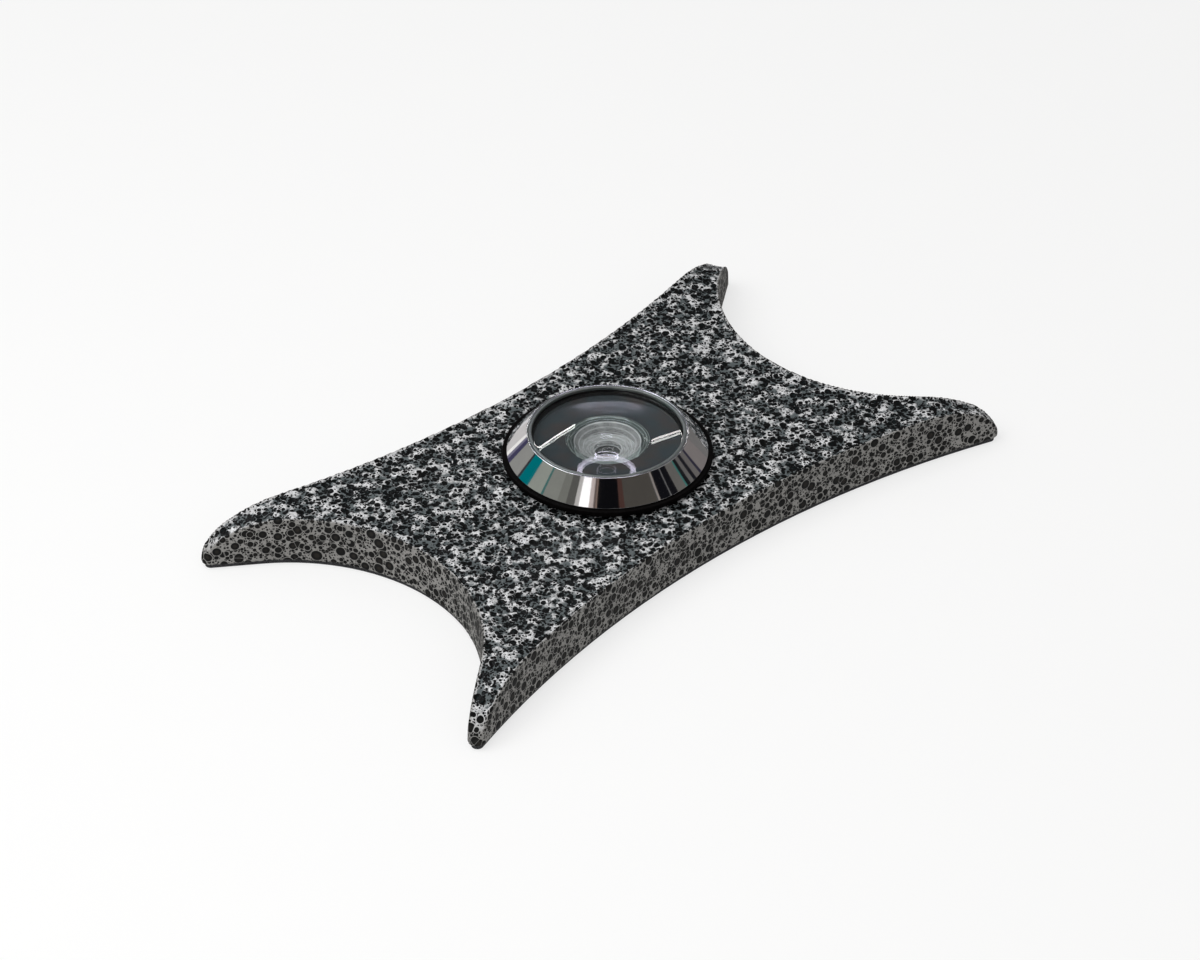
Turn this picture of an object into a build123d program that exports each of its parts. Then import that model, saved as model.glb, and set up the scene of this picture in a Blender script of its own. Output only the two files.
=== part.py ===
from build123d import *
import math
import os

# Door viewer in a four-horned cast escutcheon plate. All sizes are in millimetres.
# The origin lies on the viewer's axis, at the door's outer face. +Z points out of the door and
# +X runs along the plate. The barrels pass through the door, below z = 0.

# Escutcheon plate
plate_half_length = 50.8
plate_half_width = 28.3
waist_half_length = 33.5
waist_half_width = 20.4
horn_tip_radius = 1.3
horn_flank_length = 7.0
plate_thickness = 7.2
plate_draft_angle = 1.8
plate_edge_round = 0.4
horn_slope_length = 12.0
horn_shoulder_height = 5.3
horn_nose_length = 3.8
horn_nose_height = 0.6

# Backing gasket between the plate and the door
backing_thickness = 0.7
backing_inset = 0.5

# Chrome head of the outer barrel, and the rubber ring under it
flange_radius = 14.0
flange_rise = 3.3
flange_edge_height = 0.2
flange_gasket_thickness = 0.75
flange_gasket_overhang = 0.65
rim_outer_radius = 11.25
rim_bevel = 0.12

# Front window and what holds it in the head
window_radius = 10.85
window_clearance = 0.1
window_edge_thickness = 1.0
window_dome_rise = 0.35
bezel_thickness = 0.45
bezel_width = 0.43
bezel_clearance = 0.02
window_seal_thickness = 0.3
window_seal_width = 0.65
baffle_thickness = 0.35
baffle_clearance = 0.05

# Lens stack in the outer barrel
lens_radius = 5.95
lens_clearance = 0.05
lens_overlap = 0.1
front_lens_thickness = 2.8
front_bowl_radius = 4.7
front_bowl_depth = 1.7
rear_lens_thickness = 2.4
rear_bowl_radius = 4.3
rear_bowl_depth = 0.7
spacer_wall = 1.3
front_spacer_length = 0.8
rear_spacer_length = 3.0
lens_ring_thickness = 1.8
lens_ring_wall = 1.5
spanner_slot_width = 1.0
spanner_slot_depth = 0.7

# Barrels and their thread
barrel_wall = 1.0
barrel_neck_step = 0.2
barrel_neck_clearance = 0.1
barrel_reach = 32.0
barrel_end_chamfer = 0.3
thread_pitch = 1.0
thread_depth = 0.4
thread_land = 0.2
thread_clearance = 0.08
female_thread_turns = 22
male_thread_turns = 29
sight_bore_radius = 4.5
sight_tube_length = 33.0

# Door and the clamp on its room side
door_thickness = 45.0
thinnest_door = 35.0
thickest_door = 58.0
inner_washer_thickness = 0.8
inner_washer_radius = 13.0
inner_washer_clearance = 0.3
inner_flange_radius = 13.5
inner_flange_thickness = 2.5
inner_flange_round = 0.8
coin_slot_width = 2.0
coin_slot_depth = 1.2
coin_slot_reach = 9.2

# Eyepiece and field stop in the inner barrel
eyepiece_radius = 5.0
eyepiece_clearance = 0.05
eyepiece_seat_depth = 4.0
eyepiece_edge_thickness = 1.2
eyepiece_bulge = 0.7
eyepiece_ring_thickness = 1.2
eyepiece_ring_wall = 0.8
eyepiece_mouth_chamfer = 1.0
field_stop_thickness = 0.8
field_stop_step = 0.4
field_stop_aperture_radius = 3.2

# Privacy cover and its pivot
cover_radius = 8.0
cover_thickness = 0.8
cover_gap = 0.3
cover_ear_radius = 3.0
cover_tab_radius = 2.2
cover_edge_round = 0.2
rivet_offset = 10.2
rivet_radius = 1.0
rivet_running_clearance = 0.06
rivet_shoulder_radius = 1.8
rivet_sink = 1.5
rivet_head_radius = 2.3
rivet_head_height = 0.9
spring_washer_height = 0.35
spring_washer_thickness = 0.2

# Heights on the street side, from the door's face outwards
plate_base_z = backing_thickness
plate_top_z = plate_base_z + plate_thickness
flange_base_z = plate_top_z + flange_gasket_thickness
rim_top_z = flange_base_z + flange_rise
window_top_z = rim_top_z - bezel_thickness
window_base_z = window_top_z - window_edge_thickness
window_seal_base_z = window_base_z - window_seal_thickness
window_seat_z = window_seal_base_z - baffle_thickness

# The lens stack hangs below the window seat
front_lens_base_z = window_seat_z - front_lens_thickness
front_spacer_base_z = front_lens_base_z - front_spacer_length
rear_lens_base_z = front_spacer_base_z - rear_lens_thickness
rear_spacer_base_z = rear_lens_base_z - rear_spacer_length
lens_ring_base_z = rear_spacer_base_z - lens_ring_thickness

# Radii that follow from the fits
head_bore_radius = window_radius + window_clearance
bezel_outer_radius = head_bore_radius - bezel_clearance
bezel_inner_radius = bezel_outer_radius - bezel_width
barrel_bore_radius = lens_radius + lens_clearance
barrel_radius = barrel_bore_radius + barrel_wall
barrel_neck_radius = barrel_radius + barrel_neck_step
plate_hole_radius = barrel_neck_radius + barrel_neck_clearance
thread_crest_radius = barrel_bore_radius - thread_clearance
thread_root_radius = thread_crest_radius - thread_depth
eyepiece_bore_radius = eyepiece_radius + eyepiece_clearance
field_stop_radius = sight_bore_radius + field_stop_step

# Heights on the room side, from the door's inner face inwards
washer_top_z = -door_thickness
inner_flange_top_z = washer_top_z - inner_washer_thickness
inner_face_z = inner_flange_top_z - inner_flange_thickness
sight_tube_top_z = washer_top_z + sight_tube_length
eyepiece_seat_z = inner_face_z + eyepiece_seat_depth
eyepiece_base_z = eyepiece_seat_z - eyepiece_edge_thickness
cover_top_z = inner_face_z - cover_gap
cover_base_z = cover_top_z - cover_thickness
rivet_head_z = cover_base_z - spring_washer_height

os.makedirs("parts", exist_ok=True)


def quarter_points(inset):
    """Points of the outline in its first quarter, for an outline drawn in by inset."""
    tip_radius = horn_tip_radius - inset
    tip = Vector(plate_half_length - horn_tip_radius, plate_half_width - horn_tip_radius)
    waist = waist_half_width - inset
    drop = waist - tip.Y
    side_radius = (tip.X**2 + drop**2 - tip_radius**2) / (2 * (tip_radius - drop))
    to_side_centre = (Vector(0, waist + side_radius) - tip).normalized()
    reach = tip.X - waist_half_length
    hollow_radius = (reach**2 + tip.Y**2 - horn_tip_radius**2 - horn_flank_length**2) / (
        2 * (reach + horn_tip_radius)
    )
    hollow = hollow_radius + inset
    hollow_centre = Vector(waist_half_length + hollow_radius, 0)
    to_tip = tip - hollow_centre
    turn = math.acos((hollow + tip_radius) / to_tip.length)
    direction = math.atan2(to_tip.Y, to_tip.X) + turn
    normal = Vector(math.cos(direction), math.sin(direction))
    outward = (to_side_centre - normal).normalized()
    return {
        "side_end": tip + to_side_centre * tip_radius,
        "nose": tip + outward * tip_radius,
        "flank_start": tip - normal * tip_radius,
        "hollow_start": hollow_centre + normal * hollow,
    }


def plate_outline(inset):
    """Closed outline of the plate in the line builder that is open: arcs and straight flanks."""
    corner = quarter_points(inset)

    def at(name, sx, sy):
        return (corner[name].X * sx, corner[name].Y * sy)

    for sign in (1, -1):
        side_middle = (0, sign * (waist_half_width - inset))
        hollow_middle = (sign * (waist_half_length - inset), 0)
        ThreePointArc(at("side_end", sign, sign), side_middle, at("side_end", -sign, sign))
        ThreePointArc(at("hollow_start", sign, -sign), hollow_middle, at("hollow_start", sign, sign))
        for sx in (1, -1):
            ThreePointArc(at("side_end", sx, sign), at("nose", sx, sign), at("flank_start", sx, sign))
            Line(at("flank_start", sx, sign), at("hollow_start", sx, sign))


def ring(outer_radius, inner_radius, base_z, height):
    """Plain ring on the viewer's axis."""
    with BuildPart() as piece:
        with BuildSketch(Plane.XY.offset(base_z)):
            Circle(outer_radius)
            Circle(inner_radius, mode=Mode.SUBTRACT)
        extrude(amount=height)
    return piece


def slotted_ring(outer_radius, wall, base_z, height, slot_depth):
    """Retaining ring with two spanner slots across its lower face."""
    with BuildPart() as piece:
        with BuildSketch(Plane.XY.offset(base_z)):
            Circle(outer_radius)
            Circle(outer_radius - wall, mode=Mode.SUBTRACT)
        extrude(amount=height)
        with BuildSketch(Plane.XY.offset(base_z)):
            Rectangle(2 * outer_radius + 1, spanner_slot_width)
        extrude(amount=slot_depth, mode=Mode.SUBTRACT)
    return piece


def dished_lens(radius, base_z, thickness, bowl_radius, top_depth, base_depth):
    """Lens with a bowl ground into its upper face and, where base_depth isn't 0, its lower face."""
    top_z = base_z + thickness
    with BuildPart() as piece:
        with BuildSketch(Plane.XZ):
            with BuildLine():
                TangentArc((0, top_z - top_depth), (bowl_radius, top_z), tangent=(1, 0))
                Polyline((bowl_radius, top_z), (radius, top_z), (radius, base_z), (bowl_radius, base_z))
                if base_depth > 0:
                    TangentArc((0, base_z + base_depth), (bowl_radius, base_z), tangent=(1, 0))
                    Line((0, base_z + base_depth), (0, top_z - top_depth))
                else:
                    Polyline((bowl_radius, base_z), (0, base_z), (0, top_z - top_depth))
            make_face()
        revolve(axis=Axis.Z)
    return piece


# Cast plate: drafted walls, a flat face, and horns whose tops curve down to rounded noses
horn_reach = math.hypot(plate_half_length - horn_tip_radius, plate_half_width - horn_tip_radius) + horn_tip_radius
slope_start = horn_reach - horn_slope_length
nose_start = horn_reach - horn_nose_length
shoulder_z = plate_base_z + horn_shoulder_height
nose_z = plate_base_z + horn_nose_height
shoulder_lean = 2 * math.atan2(plate_top_z - shoulder_z, nose_start - slope_start)
plate_margin = 1.0
wall_lean_limit = 0.2
with BuildPart() as plate:
    with BuildSketch(Plane.XY.offset(plate_base_z)):
        with BuildLine():
            plate_outline(0)
        make_face()
    extrude(amount=plate_thickness, taper=plate_draft_angle)
    with BuildSketch(Plane.XZ):
        with BuildLine():
            TangentArc((slope_start, plate_top_z), (nose_start, shoulder_z), tangent=(1, 0))
            TangentArc(
                (nose_start, shoulder_z),
                (horn_reach, nose_z),
                tangent=(math.cos(shoulder_lean), -math.sin(shoulder_lean)),
            )
            Polyline(
                (horn_reach, nose_z),
                (horn_reach + plate_margin, plate_base_z),
                (horn_reach + plate_margin, plate_base_z - plate_margin),
                (0, plate_base_z - plate_margin),
                (0, plate_top_z),
                (slope_start, plate_top_z),
            )
        make_face()
    revolve(axis=Axis.Z, mode=Mode.INTERSECT)
    crown_faces = plate.faces().filter_by(GeomType.TORUS) + plate.faces().sort_by(Axis.Z)[-1:]
    wall_faces = plate.faces().filter_by(lambda face: abs(face.normal_at(face.center()).Z) < wall_lean_limit)
    crown_edges = crown_faces.edges()
    rim_edges = [edge for edge in wall_faces.edges() if any(edge.is_same(other) for other in crown_edges)]
    fillet(rim_edges, radius=plate_edge_round)
    with Locations((0, 0, plate_top_z)):
        Hole(plate_hole_radius)
plate.part.label = "escutcheon_plate"
export_step(plate.part, "parts/escutcheon_plate.step")

with BuildPart() as backing:
    with BuildSketch(Plane.XY):
        with BuildLine():
            plate_outline(backing_inset)
        make_face()
        Circle(plate_hole_radius, mode=Mode.SUBTRACT)
    extrude(amount=backing_thickness)
backing.part.label = "backing_gasket"
export_step(backing.part, "parts/backing_gasket.step")

flange_gasket = ring(
    flange_radius + flange_gasket_overhang, plate_hole_radius, plate_top_z, flange_gasket_thickness
)
flange_gasket.part.label = "flange_gasket"
export_step(flange_gasket.part, "parts/flange_gasket.step")

# Outer barrel: coned flange, window recess, a neck that centres the plate, and a tube that is
# grooved for the thread at its lower end
female_points = []
for turn in range(female_thread_turns):
    groove_z = -barrel_reach + barrel_end_chamfer + thread_pitch * (turn + 1)
    half_groove = (thread_pitch - thread_land) / 2
    female_points += [
        (barrel_bore_radius, groove_z - half_groove),
        (barrel_bore_radius + thread_depth, groove_z),
        (barrel_bore_radius, groove_z + half_groove),
    ]
with BuildPart() as outer_barrel:
    with BuildSketch(Plane.XZ):
        with BuildLine():
            Polyline(
                (barrel_bore_radius, -barrel_reach),
                *female_points,
                (barrel_bore_radius, window_seat_z),
                (head_bore_radius, window_seat_z),
                (head_bore_radius, rim_top_z),
                (rim_outer_radius - rim_bevel, rim_top_z),
                (rim_outer_radius, rim_top_z - rim_bevel),
                (flange_radius, flange_base_z + flange_edge_height),
                (flange_radius, flange_base_z),
                (barrel_neck_radius, flange_base_z),
                (barrel_neck_radius, 0),
                (barrel_radius, 0),
                (barrel_radius, barrel_end_chamfer - barrel_reach),
                (barrel_radius - barrel_end_chamfer, -barrel_reach),
                close=True,
            )
        make_face()
    revolve(axis=Axis.Z)
outer_barrel.part.label = "outer_barrel"
export_step(outer_barrel.part, "parts/outer_barrel.step")

bezel_ring = ring(bezel_outer_radius, bezel_inner_radius, window_top_z, bezel_thickness)
bezel_ring.part.label = "bezel_ring"
export_step(bezel_ring.part, "parts/bezel_ring.step")

# Window: a flat land under the bezel and a shallow dome inside it
with BuildPart() as window:
    with BuildSketch(Plane.XZ):
        with BuildLine():
            TangentArc(
                (0, window_top_z + window_dome_rise), (bezel_inner_radius, window_top_z), tangent=(1, 0)
            )
            Polyline(
                (bezel_inner_radius, window_top_z),
                (window_radius, window_top_z),
                (window_radius, window_base_z),
                (0, window_base_z),
                (0, window_top_z + window_dome_rise),
            )
        make_face()
    revolve(axis=Axis.Z)
window.part.label = "front_window"
export_step(window.part, "parts/front_window.step")

window_seal = ring(window_radius, window_radius - window_seal_width, window_seal_base_z, window_seal_thickness)
window_seal.part.label = "window_seal"
export_step(window_seal.part, "parts/window_seal.step")

baffle = ring(head_bore_radius - baffle_clearance, lens_radius - lens_overlap, window_seat_z, baffle_thickness)
baffle.part.label = "light_baffle"
export_step(baffle.part, "parts/light_baffle.step")

front_lens = dished_lens(
    lens_radius, front_lens_base_z, front_lens_thickness, front_bowl_radius, front_bowl_depth, 0
)
front_lens.part.label = "front_lens"
export_step(front_lens.part, "parts/front_lens.step")

front_spacer = ring(lens_radius, lens_radius - spacer_wall, front_spacer_base_z, front_spacer_length)
front_spacer.part.label = "front_lens_spacer"
export_step(front_spacer.part, "parts/front_lens_spacer.step")

rear_lens = dished_lens(
    lens_radius, rear_lens_base_z, rear_lens_thickness, rear_bowl_radius, rear_bowl_depth, rear_bowl_depth
)
rear_lens.part.label = "rear_lens"
export_step(rear_lens.part, "parts/rear_lens.step")

rear_spacer = ring(lens_radius, lens_radius - spacer_wall, rear_spacer_base_z, rear_spacer_length)
rear_spacer.part.label = "rear_lens_spacer"
export_step(rear_spacer.part, "parts/rear_lens_spacer.step")

lens_ring = slotted_ring(
    lens_radius, lens_ring_wall, lens_ring_base_z, lens_ring_thickness, spanner_slot_depth
)
lens_ring.part.label = "lens_retaining_ring"
export_step(lens_ring.part, "parts/lens_retaining_ring.step")

inner_washer = ring(
    inner_washer_radius,
    thread_crest_radius + inner_washer_clearance,
    inner_flange_top_z,
    inner_washer_thickness,
)
inner_washer.part.label = "inner_washer"
export_step(inner_washer.part, "parts/inner_washer.step")

# Inner barrel: the sight tube with its thread, and the flange that a coin turns
male_points = []
for turn in range(male_thread_turns):
    ridge_z = sight_tube_top_z - thread_pitch * (turn + 1)
    half_ridge = (thread_pitch - thread_land) / 2
    male_points += [
        (thread_root_radius, ridge_z + half_ridge),
        (thread_crest_radius - thread_land / 2, ridge_z + thread_land / 2),
        (thread_crest_radius - thread_land / 2, ridge_z - thread_land / 2),
        (thread_root_radius, ridge_z - half_ridge),
    ]
neck_top_z = sight_tube_top_z - thread_pitch * (male_thread_turns + 1)
with BuildPart() as inner_barrel:
    with BuildSketch(Plane.XZ):
        with BuildLine():
            Polyline(
                (field_stop_radius, sight_tube_top_z),
                (thread_root_radius, sight_tube_top_z),
                *male_points,
                (thread_root_radius, neck_top_z),
                (thread_crest_radius, neck_top_z - thread_depth),
                (thread_crest_radius, inner_flange_top_z),
                (inner_flange_radius, inner_flange_top_z),
                (inner_flange_radius, inner_face_z),
                (eyepiece_bore_radius + eyepiece_mouth_chamfer, inner_face_z),
                (eyepiece_bore_radius, inner_face_z + eyepiece_mouth_chamfer),
                (eyepiece_bore_radius, eyepiece_seat_z),
                (sight_bore_radius, eyepiece_seat_z),
                (sight_bore_radius, sight_tube_top_z - field_stop_thickness),
                (field_stop_radius, sight_tube_top_z - field_stop_thickness),
                close=True,
            )
        make_face()
    revolve(axis=Axis.Z)
    rim_edges = inner_barrel.edges().filter_by(GeomType.CIRCLE).filter_by(
        lambda edge: abs(edge.radius - inner_flange_radius) < 0.01
    )
    fillet(rim_edges, radius=inner_flange_round)
    with BuildSketch(Plane.XY.offset(inner_face_z)):
        Rectangle(2 * coin_slot_reach, coin_slot_width)
        Circle(eyepiece_bore_radius, mode=Mode.SUBTRACT)
    extrude(amount=coin_slot_depth, mode=Mode.SUBTRACT)
    with BuildSketch(Plane.XY.offset(inner_face_z)):
        with Locations((0, rivet_offset)):
            Circle(rivet_radius)
    extrude(amount=rivet_sink, mode=Mode.SUBTRACT)
inner_barrel.part.label = "inner_barrel"
export_step(inner_barrel.part, "parts/inner_barrel.step")

field_stop = ring(
    field_stop_radius,
    field_stop_aperture_radius,
    sight_tube_top_z - field_stop_thickness,
    field_stop_thickness,
)
field_stop.part.label = "field_stop"
export_step(field_stop.part, "parts/field_stop.step")

# Eyepiece: a lens that bulges on both faces, with a flat land for its seat and its ring
eyepiece_land_radius = eyepiece_bore_radius - eyepiece_ring_wall
with BuildPart() as eyepiece:
    with BuildSketch(Plane.XZ):
        with BuildLine():
            TangentArc(
                (0, eyepiece_seat_z + eyepiece_bulge), (eyepiece_land_radius, eyepiece_seat_z), tangent=(1, 0)
            )
            Polyline(
                (eyepiece_land_radius, eyepiece_seat_z),
                (eyepiece_radius, eyepiece_seat_z),
                (eyepiece_radius, eyepiece_base_z),
                (eyepiece_land_radius, eyepiece_base_z),
            )
            TangentArc(
                (0, eyepiece_base_z - eyepiece_bulge), (eyepiece_land_radius, eyepiece_base_z), tangent=(1, 0)
            )
            Line((0, eyepiece_base_z - eyepiece_bulge), (0, eyepiece_seat_z + eyepiece_bulge))
        make_face()
    revolve(axis=Axis.Z)
eyepiece.part.label = "eyepiece_lens"
export_step(eyepiece.part, "parts/eyepiece_lens.step")

eyepiece_ring = slotted_ring(
    eyepiece_radius,
    eyepiece_ring_wall - eyepiece_clearance,
    eyepiece_base_z - eyepiece_ring_thickness,
    eyepiece_ring_thickness,
    spanner_slot_depth,
)
eyepiece_ring.part.label = "eyepiece_retaining_ring"
export_step(eyepiece_ring.part, "parts/eyepiece_retaining_ring.step")

# Privacy cover: a disc with an ear for the rivet and a small tab for a fingertip
with BuildPart() as cover:
    with BuildSketch(Plane.XY.offset(cover_base_z)):
        Circle(cover_radius)
        with Locations((0, rivet_offset)):
            Circle(cover_ear_radius)
        make_hull()
        with Locations((0, -cover_radius)):
            Circle(cover_tab_radius)
        with Locations((0, rivet_offset)):
            Circle(rivet_radius + rivet_running_clearance, mode=Mode.SUBTRACT)
    extrude(amount=cover_thickness)
    outer_edges = cover.faces().sort_by(Axis.Z)[0].outer_wire().edges()
    fillet(outer_edges, radius=cover_edge_round)
cover.part.label = "privacy_cover"
export_step(cover.part, "parts/privacy_cover.step")

# Rivet: sunk in the flange, shouldered to set the cover's gap, with a domed head
with BuildPart() as rivet:
    with BuildSketch(Plane.XZ):
        with BuildLine():
            Polyline(
                (0, rivet_head_z - rivet_head_height),
                (0, inner_face_z + rivet_sink),
                (rivet_radius, inner_face_z + rivet_sink),
                (rivet_radius, inner_face_z),
                (rivet_shoulder_radius, inner_face_z),
                (rivet_shoulder_radius, cover_top_z),
                (rivet_radius, cover_top_z),
                (rivet_radius, rivet_head_z),
                (rivet_head_radius, rivet_head_z),
            )
            TangentArc(
                (0, rivet_head_z - rivet_head_height), (rivet_head_radius, rivet_head_z), tangent=(1, 0)
            )
        make_face()
    revolve(axis=Axis.Z)
rivet.part.locate(Location((0, rivet_offset, 0)))
rivet.part.label = "cover_rivet"
export_step(rivet.part, "parts/cover_rivet.step")

# Spring washer: a shallow cone of sheet under the rivet's head
with BuildPart() as spring_washer:
    with BuildSketch(Plane.XZ):
        with BuildLine():
            Polyline(
                (rivet_radius + rivet_running_clearance, rivet_head_z),
                (rivet_radius + rivet_running_clearance, rivet_head_z + spring_washer_thickness),
                (rivet_head_radius, cover_base_z),
                (rivet_head_radius, cover_base_z - spring_washer_thickness),
                close=True,
            )
        make_face()
    revolve(axis=Axis.Z)
spring_washer.part.locate(Location((0, rivet_offset, 0)))
spring_washer.part.label = "cover_spring_washer"
export_step(spring_washer.part, "parts/cover_spring_washer.step")

closest_tube_top_z = sight_tube_length - thinnest_door
deepest_engagement = closest_tube_top_z + barrel_reach
print("tube clears the lens ring on the thinnest door by", round(lens_ring_base_z - closest_tube_top_z, 2))
print("thread engaged on the thinnest door", round(deepest_engagement, 2))
print("thread engaged on the thickest door", round(sight_tube_length - thickest_door + barrel_reach, 2))
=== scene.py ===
import math

import bpy
from bpy.props import FloatProperty, FloatVectorProperty, IntProperty, PointerProperty
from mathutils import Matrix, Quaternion, Vector


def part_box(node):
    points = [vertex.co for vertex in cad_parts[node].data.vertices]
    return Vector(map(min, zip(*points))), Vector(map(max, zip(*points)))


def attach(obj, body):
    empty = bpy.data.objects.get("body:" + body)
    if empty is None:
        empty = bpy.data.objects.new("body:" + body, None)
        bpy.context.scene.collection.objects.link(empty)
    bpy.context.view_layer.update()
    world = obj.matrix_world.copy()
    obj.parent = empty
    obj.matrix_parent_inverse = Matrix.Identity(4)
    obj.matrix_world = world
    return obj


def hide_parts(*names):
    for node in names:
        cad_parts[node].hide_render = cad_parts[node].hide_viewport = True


# Looks of a door viewer in a hammered escutcheon plate, dressed round its CAD frame.
# Lengths are in metres. The viewer's axis is the Z axis, and the door's outer face is at z = 0.

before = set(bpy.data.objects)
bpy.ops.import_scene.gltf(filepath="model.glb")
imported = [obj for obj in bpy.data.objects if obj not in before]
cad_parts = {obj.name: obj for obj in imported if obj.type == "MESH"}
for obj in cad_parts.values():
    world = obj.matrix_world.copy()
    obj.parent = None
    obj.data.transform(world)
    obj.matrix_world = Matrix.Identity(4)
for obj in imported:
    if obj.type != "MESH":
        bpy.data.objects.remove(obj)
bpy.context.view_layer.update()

bl_info = {
    "name": "Door Viewer Dressing",
    "version": (1, 0, 0),
    "blender": (4, 5, 0),
    "location": "View3D > Sidebar > Door Viewer",
    "description": "Models and finishes the pieces of a door viewer round its CAD frame",
    "category": "Add Mesh",
}

MM = 0.001
SHARP_ANGLE = math.radians(32)
SEED_SIZE = 0.01 * MM
MERGE_DISTANCE = 0.002 * MM
ARC_POINTS = 28
ROUND_POINTS = 4


class DoorViewerPlate(bpy.types.PropertyGroup):
    """Sizes and colours of the cast plate's hammered enamel."""

    grain: FloatProperty(
        name="Mesh Grain", description="Length of the plate mesh's faces", default=0.27 * MM, unit="LENGTH"
    )
    lump_size: FloatProperty(
        name="Lump Size", description="Width of a lump in the casting", default=1.7 * MM, unit="LENGTH"
    )
    lump_depth: FloatProperty(
        name="Lump Depth", description="Depth between the lumps", default=0.5 * MM, unit="LENGTH"
    )
    wrinkle_size: FloatProperty(
        name="Wrinkle Size", description="Width of the wrinkles", default=0.75 * MM, unit="LENGTH"
    )
    wrinkle_depth: FloatProperty(
        name="Wrinkle Depth", description="Depth of the wrinkles", default=0.35 * MM, unit="LENGTH"
    )
    wall_colour: FloatVectorProperty(
        name="Enamel", description="Grey of the enamel on the walls", subtype="COLOR", size=4,
        default=(0.3, 0.293, 0.28, 1),
    )
    # Crests: partly the enamel's own silver, partly a painted highlight on the lumps' tops.
    crest_colour_and_highlight: FloatVectorProperty(
        name="Crests", description="Silver of the hammered crests", subtype="COLOR", size=4,
        default=(0.55, 0.55, 0.555, 1),
    )
    # Valleys: the enamel's grey darkened as painted shade in the hollows, with a painted teal reflection.
    valley_colour_and_shade: FloatVectorProperty(
        name="Valleys", description="Dark teal grey between the lumps", subtype="COLOR", size=4,
        default=(0.1, 0.116, 0.12, 1),
    )
    droplet_colour: FloatVectorProperty(
        name="Droplets", description="Near-black of the droplets", subtype="COLOR", size=4,
        default=(0.008, 0.008, 0.008, 1),
    )
    droplet_cell: FloatProperty(
        name="Droplet Spacing", description="Spacing of the largest droplets", default=2.3 * MM, unit="LENGTH"
    )


class DoorViewerTurning(bpy.types.PropertyGroup):
    """Sizes of the turned pieces that the frame's boxes don't give."""

    steps: IntProperty(name="Steps", description="Faces round a turned piece", default=192)
    small_steps: IntProperty(name="Small Steps", description="Faces round a small turned piece", default=96)
    edge_round: FloatProperty(
        name="Edge Round", description="Rounding of a machined edge", default=0.06 * MM, unit="LENGTH"
    )
    moulded_round: FloatProperty(
        name="Moulded Round", description="Rounding of a moulded edge", default=0.15 * MM, unit="LENGTH"
    )
    rim_bevel: FloatProperty(
        name="Rim Bevel", description="Bevel at the top of the head's rim", default=0.12 * MM, unit="LENGTH"
    )
    flange_edge: FloatProperty(
        name="Flange Edge", description="Height of the flange's upright edge", default=0.2 * MM, unit="LENGTH"
    )
    thread_pitch: FloatProperty(
        name="Thread Pitch", description="Pitch of the barrels' thread", default=1.0 * MM, unit="LENGTH"
    )
    thread_depth: FloatProperty(
        name="Thread Depth", description="Depth of the barrels' thread", default=0.4 * MM, unit="LENGTH"
    )
    thread_land: FloatProperty(
        name="Thread Land", description="Flat width between two grooves", default=0.2 * MM, unit="LENGTH"
    )
    inner_grooves: IntProperty(name="Inner Grooves", description="Grooves in the outer barrel", default=22)
    outer_ridges: IntProperty(name="Outer Ridges", description="Ridges on the inner barrel", default=29)
    dish_drop: FloatProperty(
        name="Dish Drop", description="How far the baffle falls towards the lens", unit="LENGTH",
        default=0.22 * MM,
    )
    land_step: FloatProperty(
        name="Land Step", description="Step in the front lens's ground land", default=0.12 * MM, unit="LENGTH"
    )


class DoorViewerStudio(bpy.types.PropertyGroup):
    """Camera, floor and light."""

    azimuth: FloatProperty(
        name="Azimuth", description="Camera's turn about the object", subtype="ANGLE",
        default=math.radians(-43.9),
    )
    elevation: FloatProperty(
        name="Elevation", description="Camera's height above the horizon", subtype="ANGLE",
        default=math.radians(36),
    )
    distance: FloatProperty(
        name="Distance", description="Camera's distance from its aim", default=0.604, unit="LENGTH"
    )
    aim: FloatVectorProperty(
        name="Aim", description="Point in the middle of the picture", subtype="TRANSLATION",
        default=(0.0026, 0.0042, 0),
    )
    lens: FloatProperty(name="Lens", description="Focal length in millimetres", default=128.6)
    floor_radius: FloatProperty(
        name="Floor Radius", description="Where the floor ends", default=0.2, unit="LENGTH"
    )
    floor_fade: FloatProperty(
        name="Floor Fade", description="Width of the floor's faded edge", default=0.03, unit="LENGTH"
    )
    floor_colour: FloatVectorProperty(
        name="Floor", description="Pale grey of the floor", subtype="COLOR", size=4,
        default=(0.84, 0.84, 0.83, 1),
    )
    ambient: FloatProperty(name="Ambient", description="Strength of the even light", default=0.5)
    key_power: FloatProperty(name="Key", description="Power of the main lamp in watts", default=1.1)


def heights(node):
    """Lowest and highest z of a CAD node."""
    low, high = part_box(node)
    return low.z, high.z


def radius_of(node):
    """Outer radius of a turned CAD node."""
    low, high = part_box(node)
    return (high.x - low.x) / 2


def axis_of(node):
    """Middle of a turned CAD node, seen along Z."""
    low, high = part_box(node)
    return Vector(((low.x + high.x) / 2, (low.y + high.y) / 2, 0))


def radii_at(node, height):
    """Smallest and largest radius of a CAD node's corners at a height."""
    middle = axis_of(node)
    radii = [
        (vertex.co - middle).xy.length
        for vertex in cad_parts[node].data.vertices
        if abs(vertex.co.z - height) < MERGE_DISTANCE
    ]
    return min(radii), max(radii)


def bowed(start, end, count=ARC_POINTS):
    """Points of a circular arc between two outline points, the first on the axis, that starts level."""
    width, drop = end[0] - start[0], end[1] - start[1]
    radius = (width**2 + drop**2) / (2 * abs(drop))
    side = 1 if drop > 0 else -1
    angles = [math.asin(width / radius) * i / count for i in range(count + 1)]
    return [
        (start[0] + radius * math.sin(angle), start[1] + side * radius * (1 - math.cos(angle)))
        for angle in angles
    ]


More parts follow.
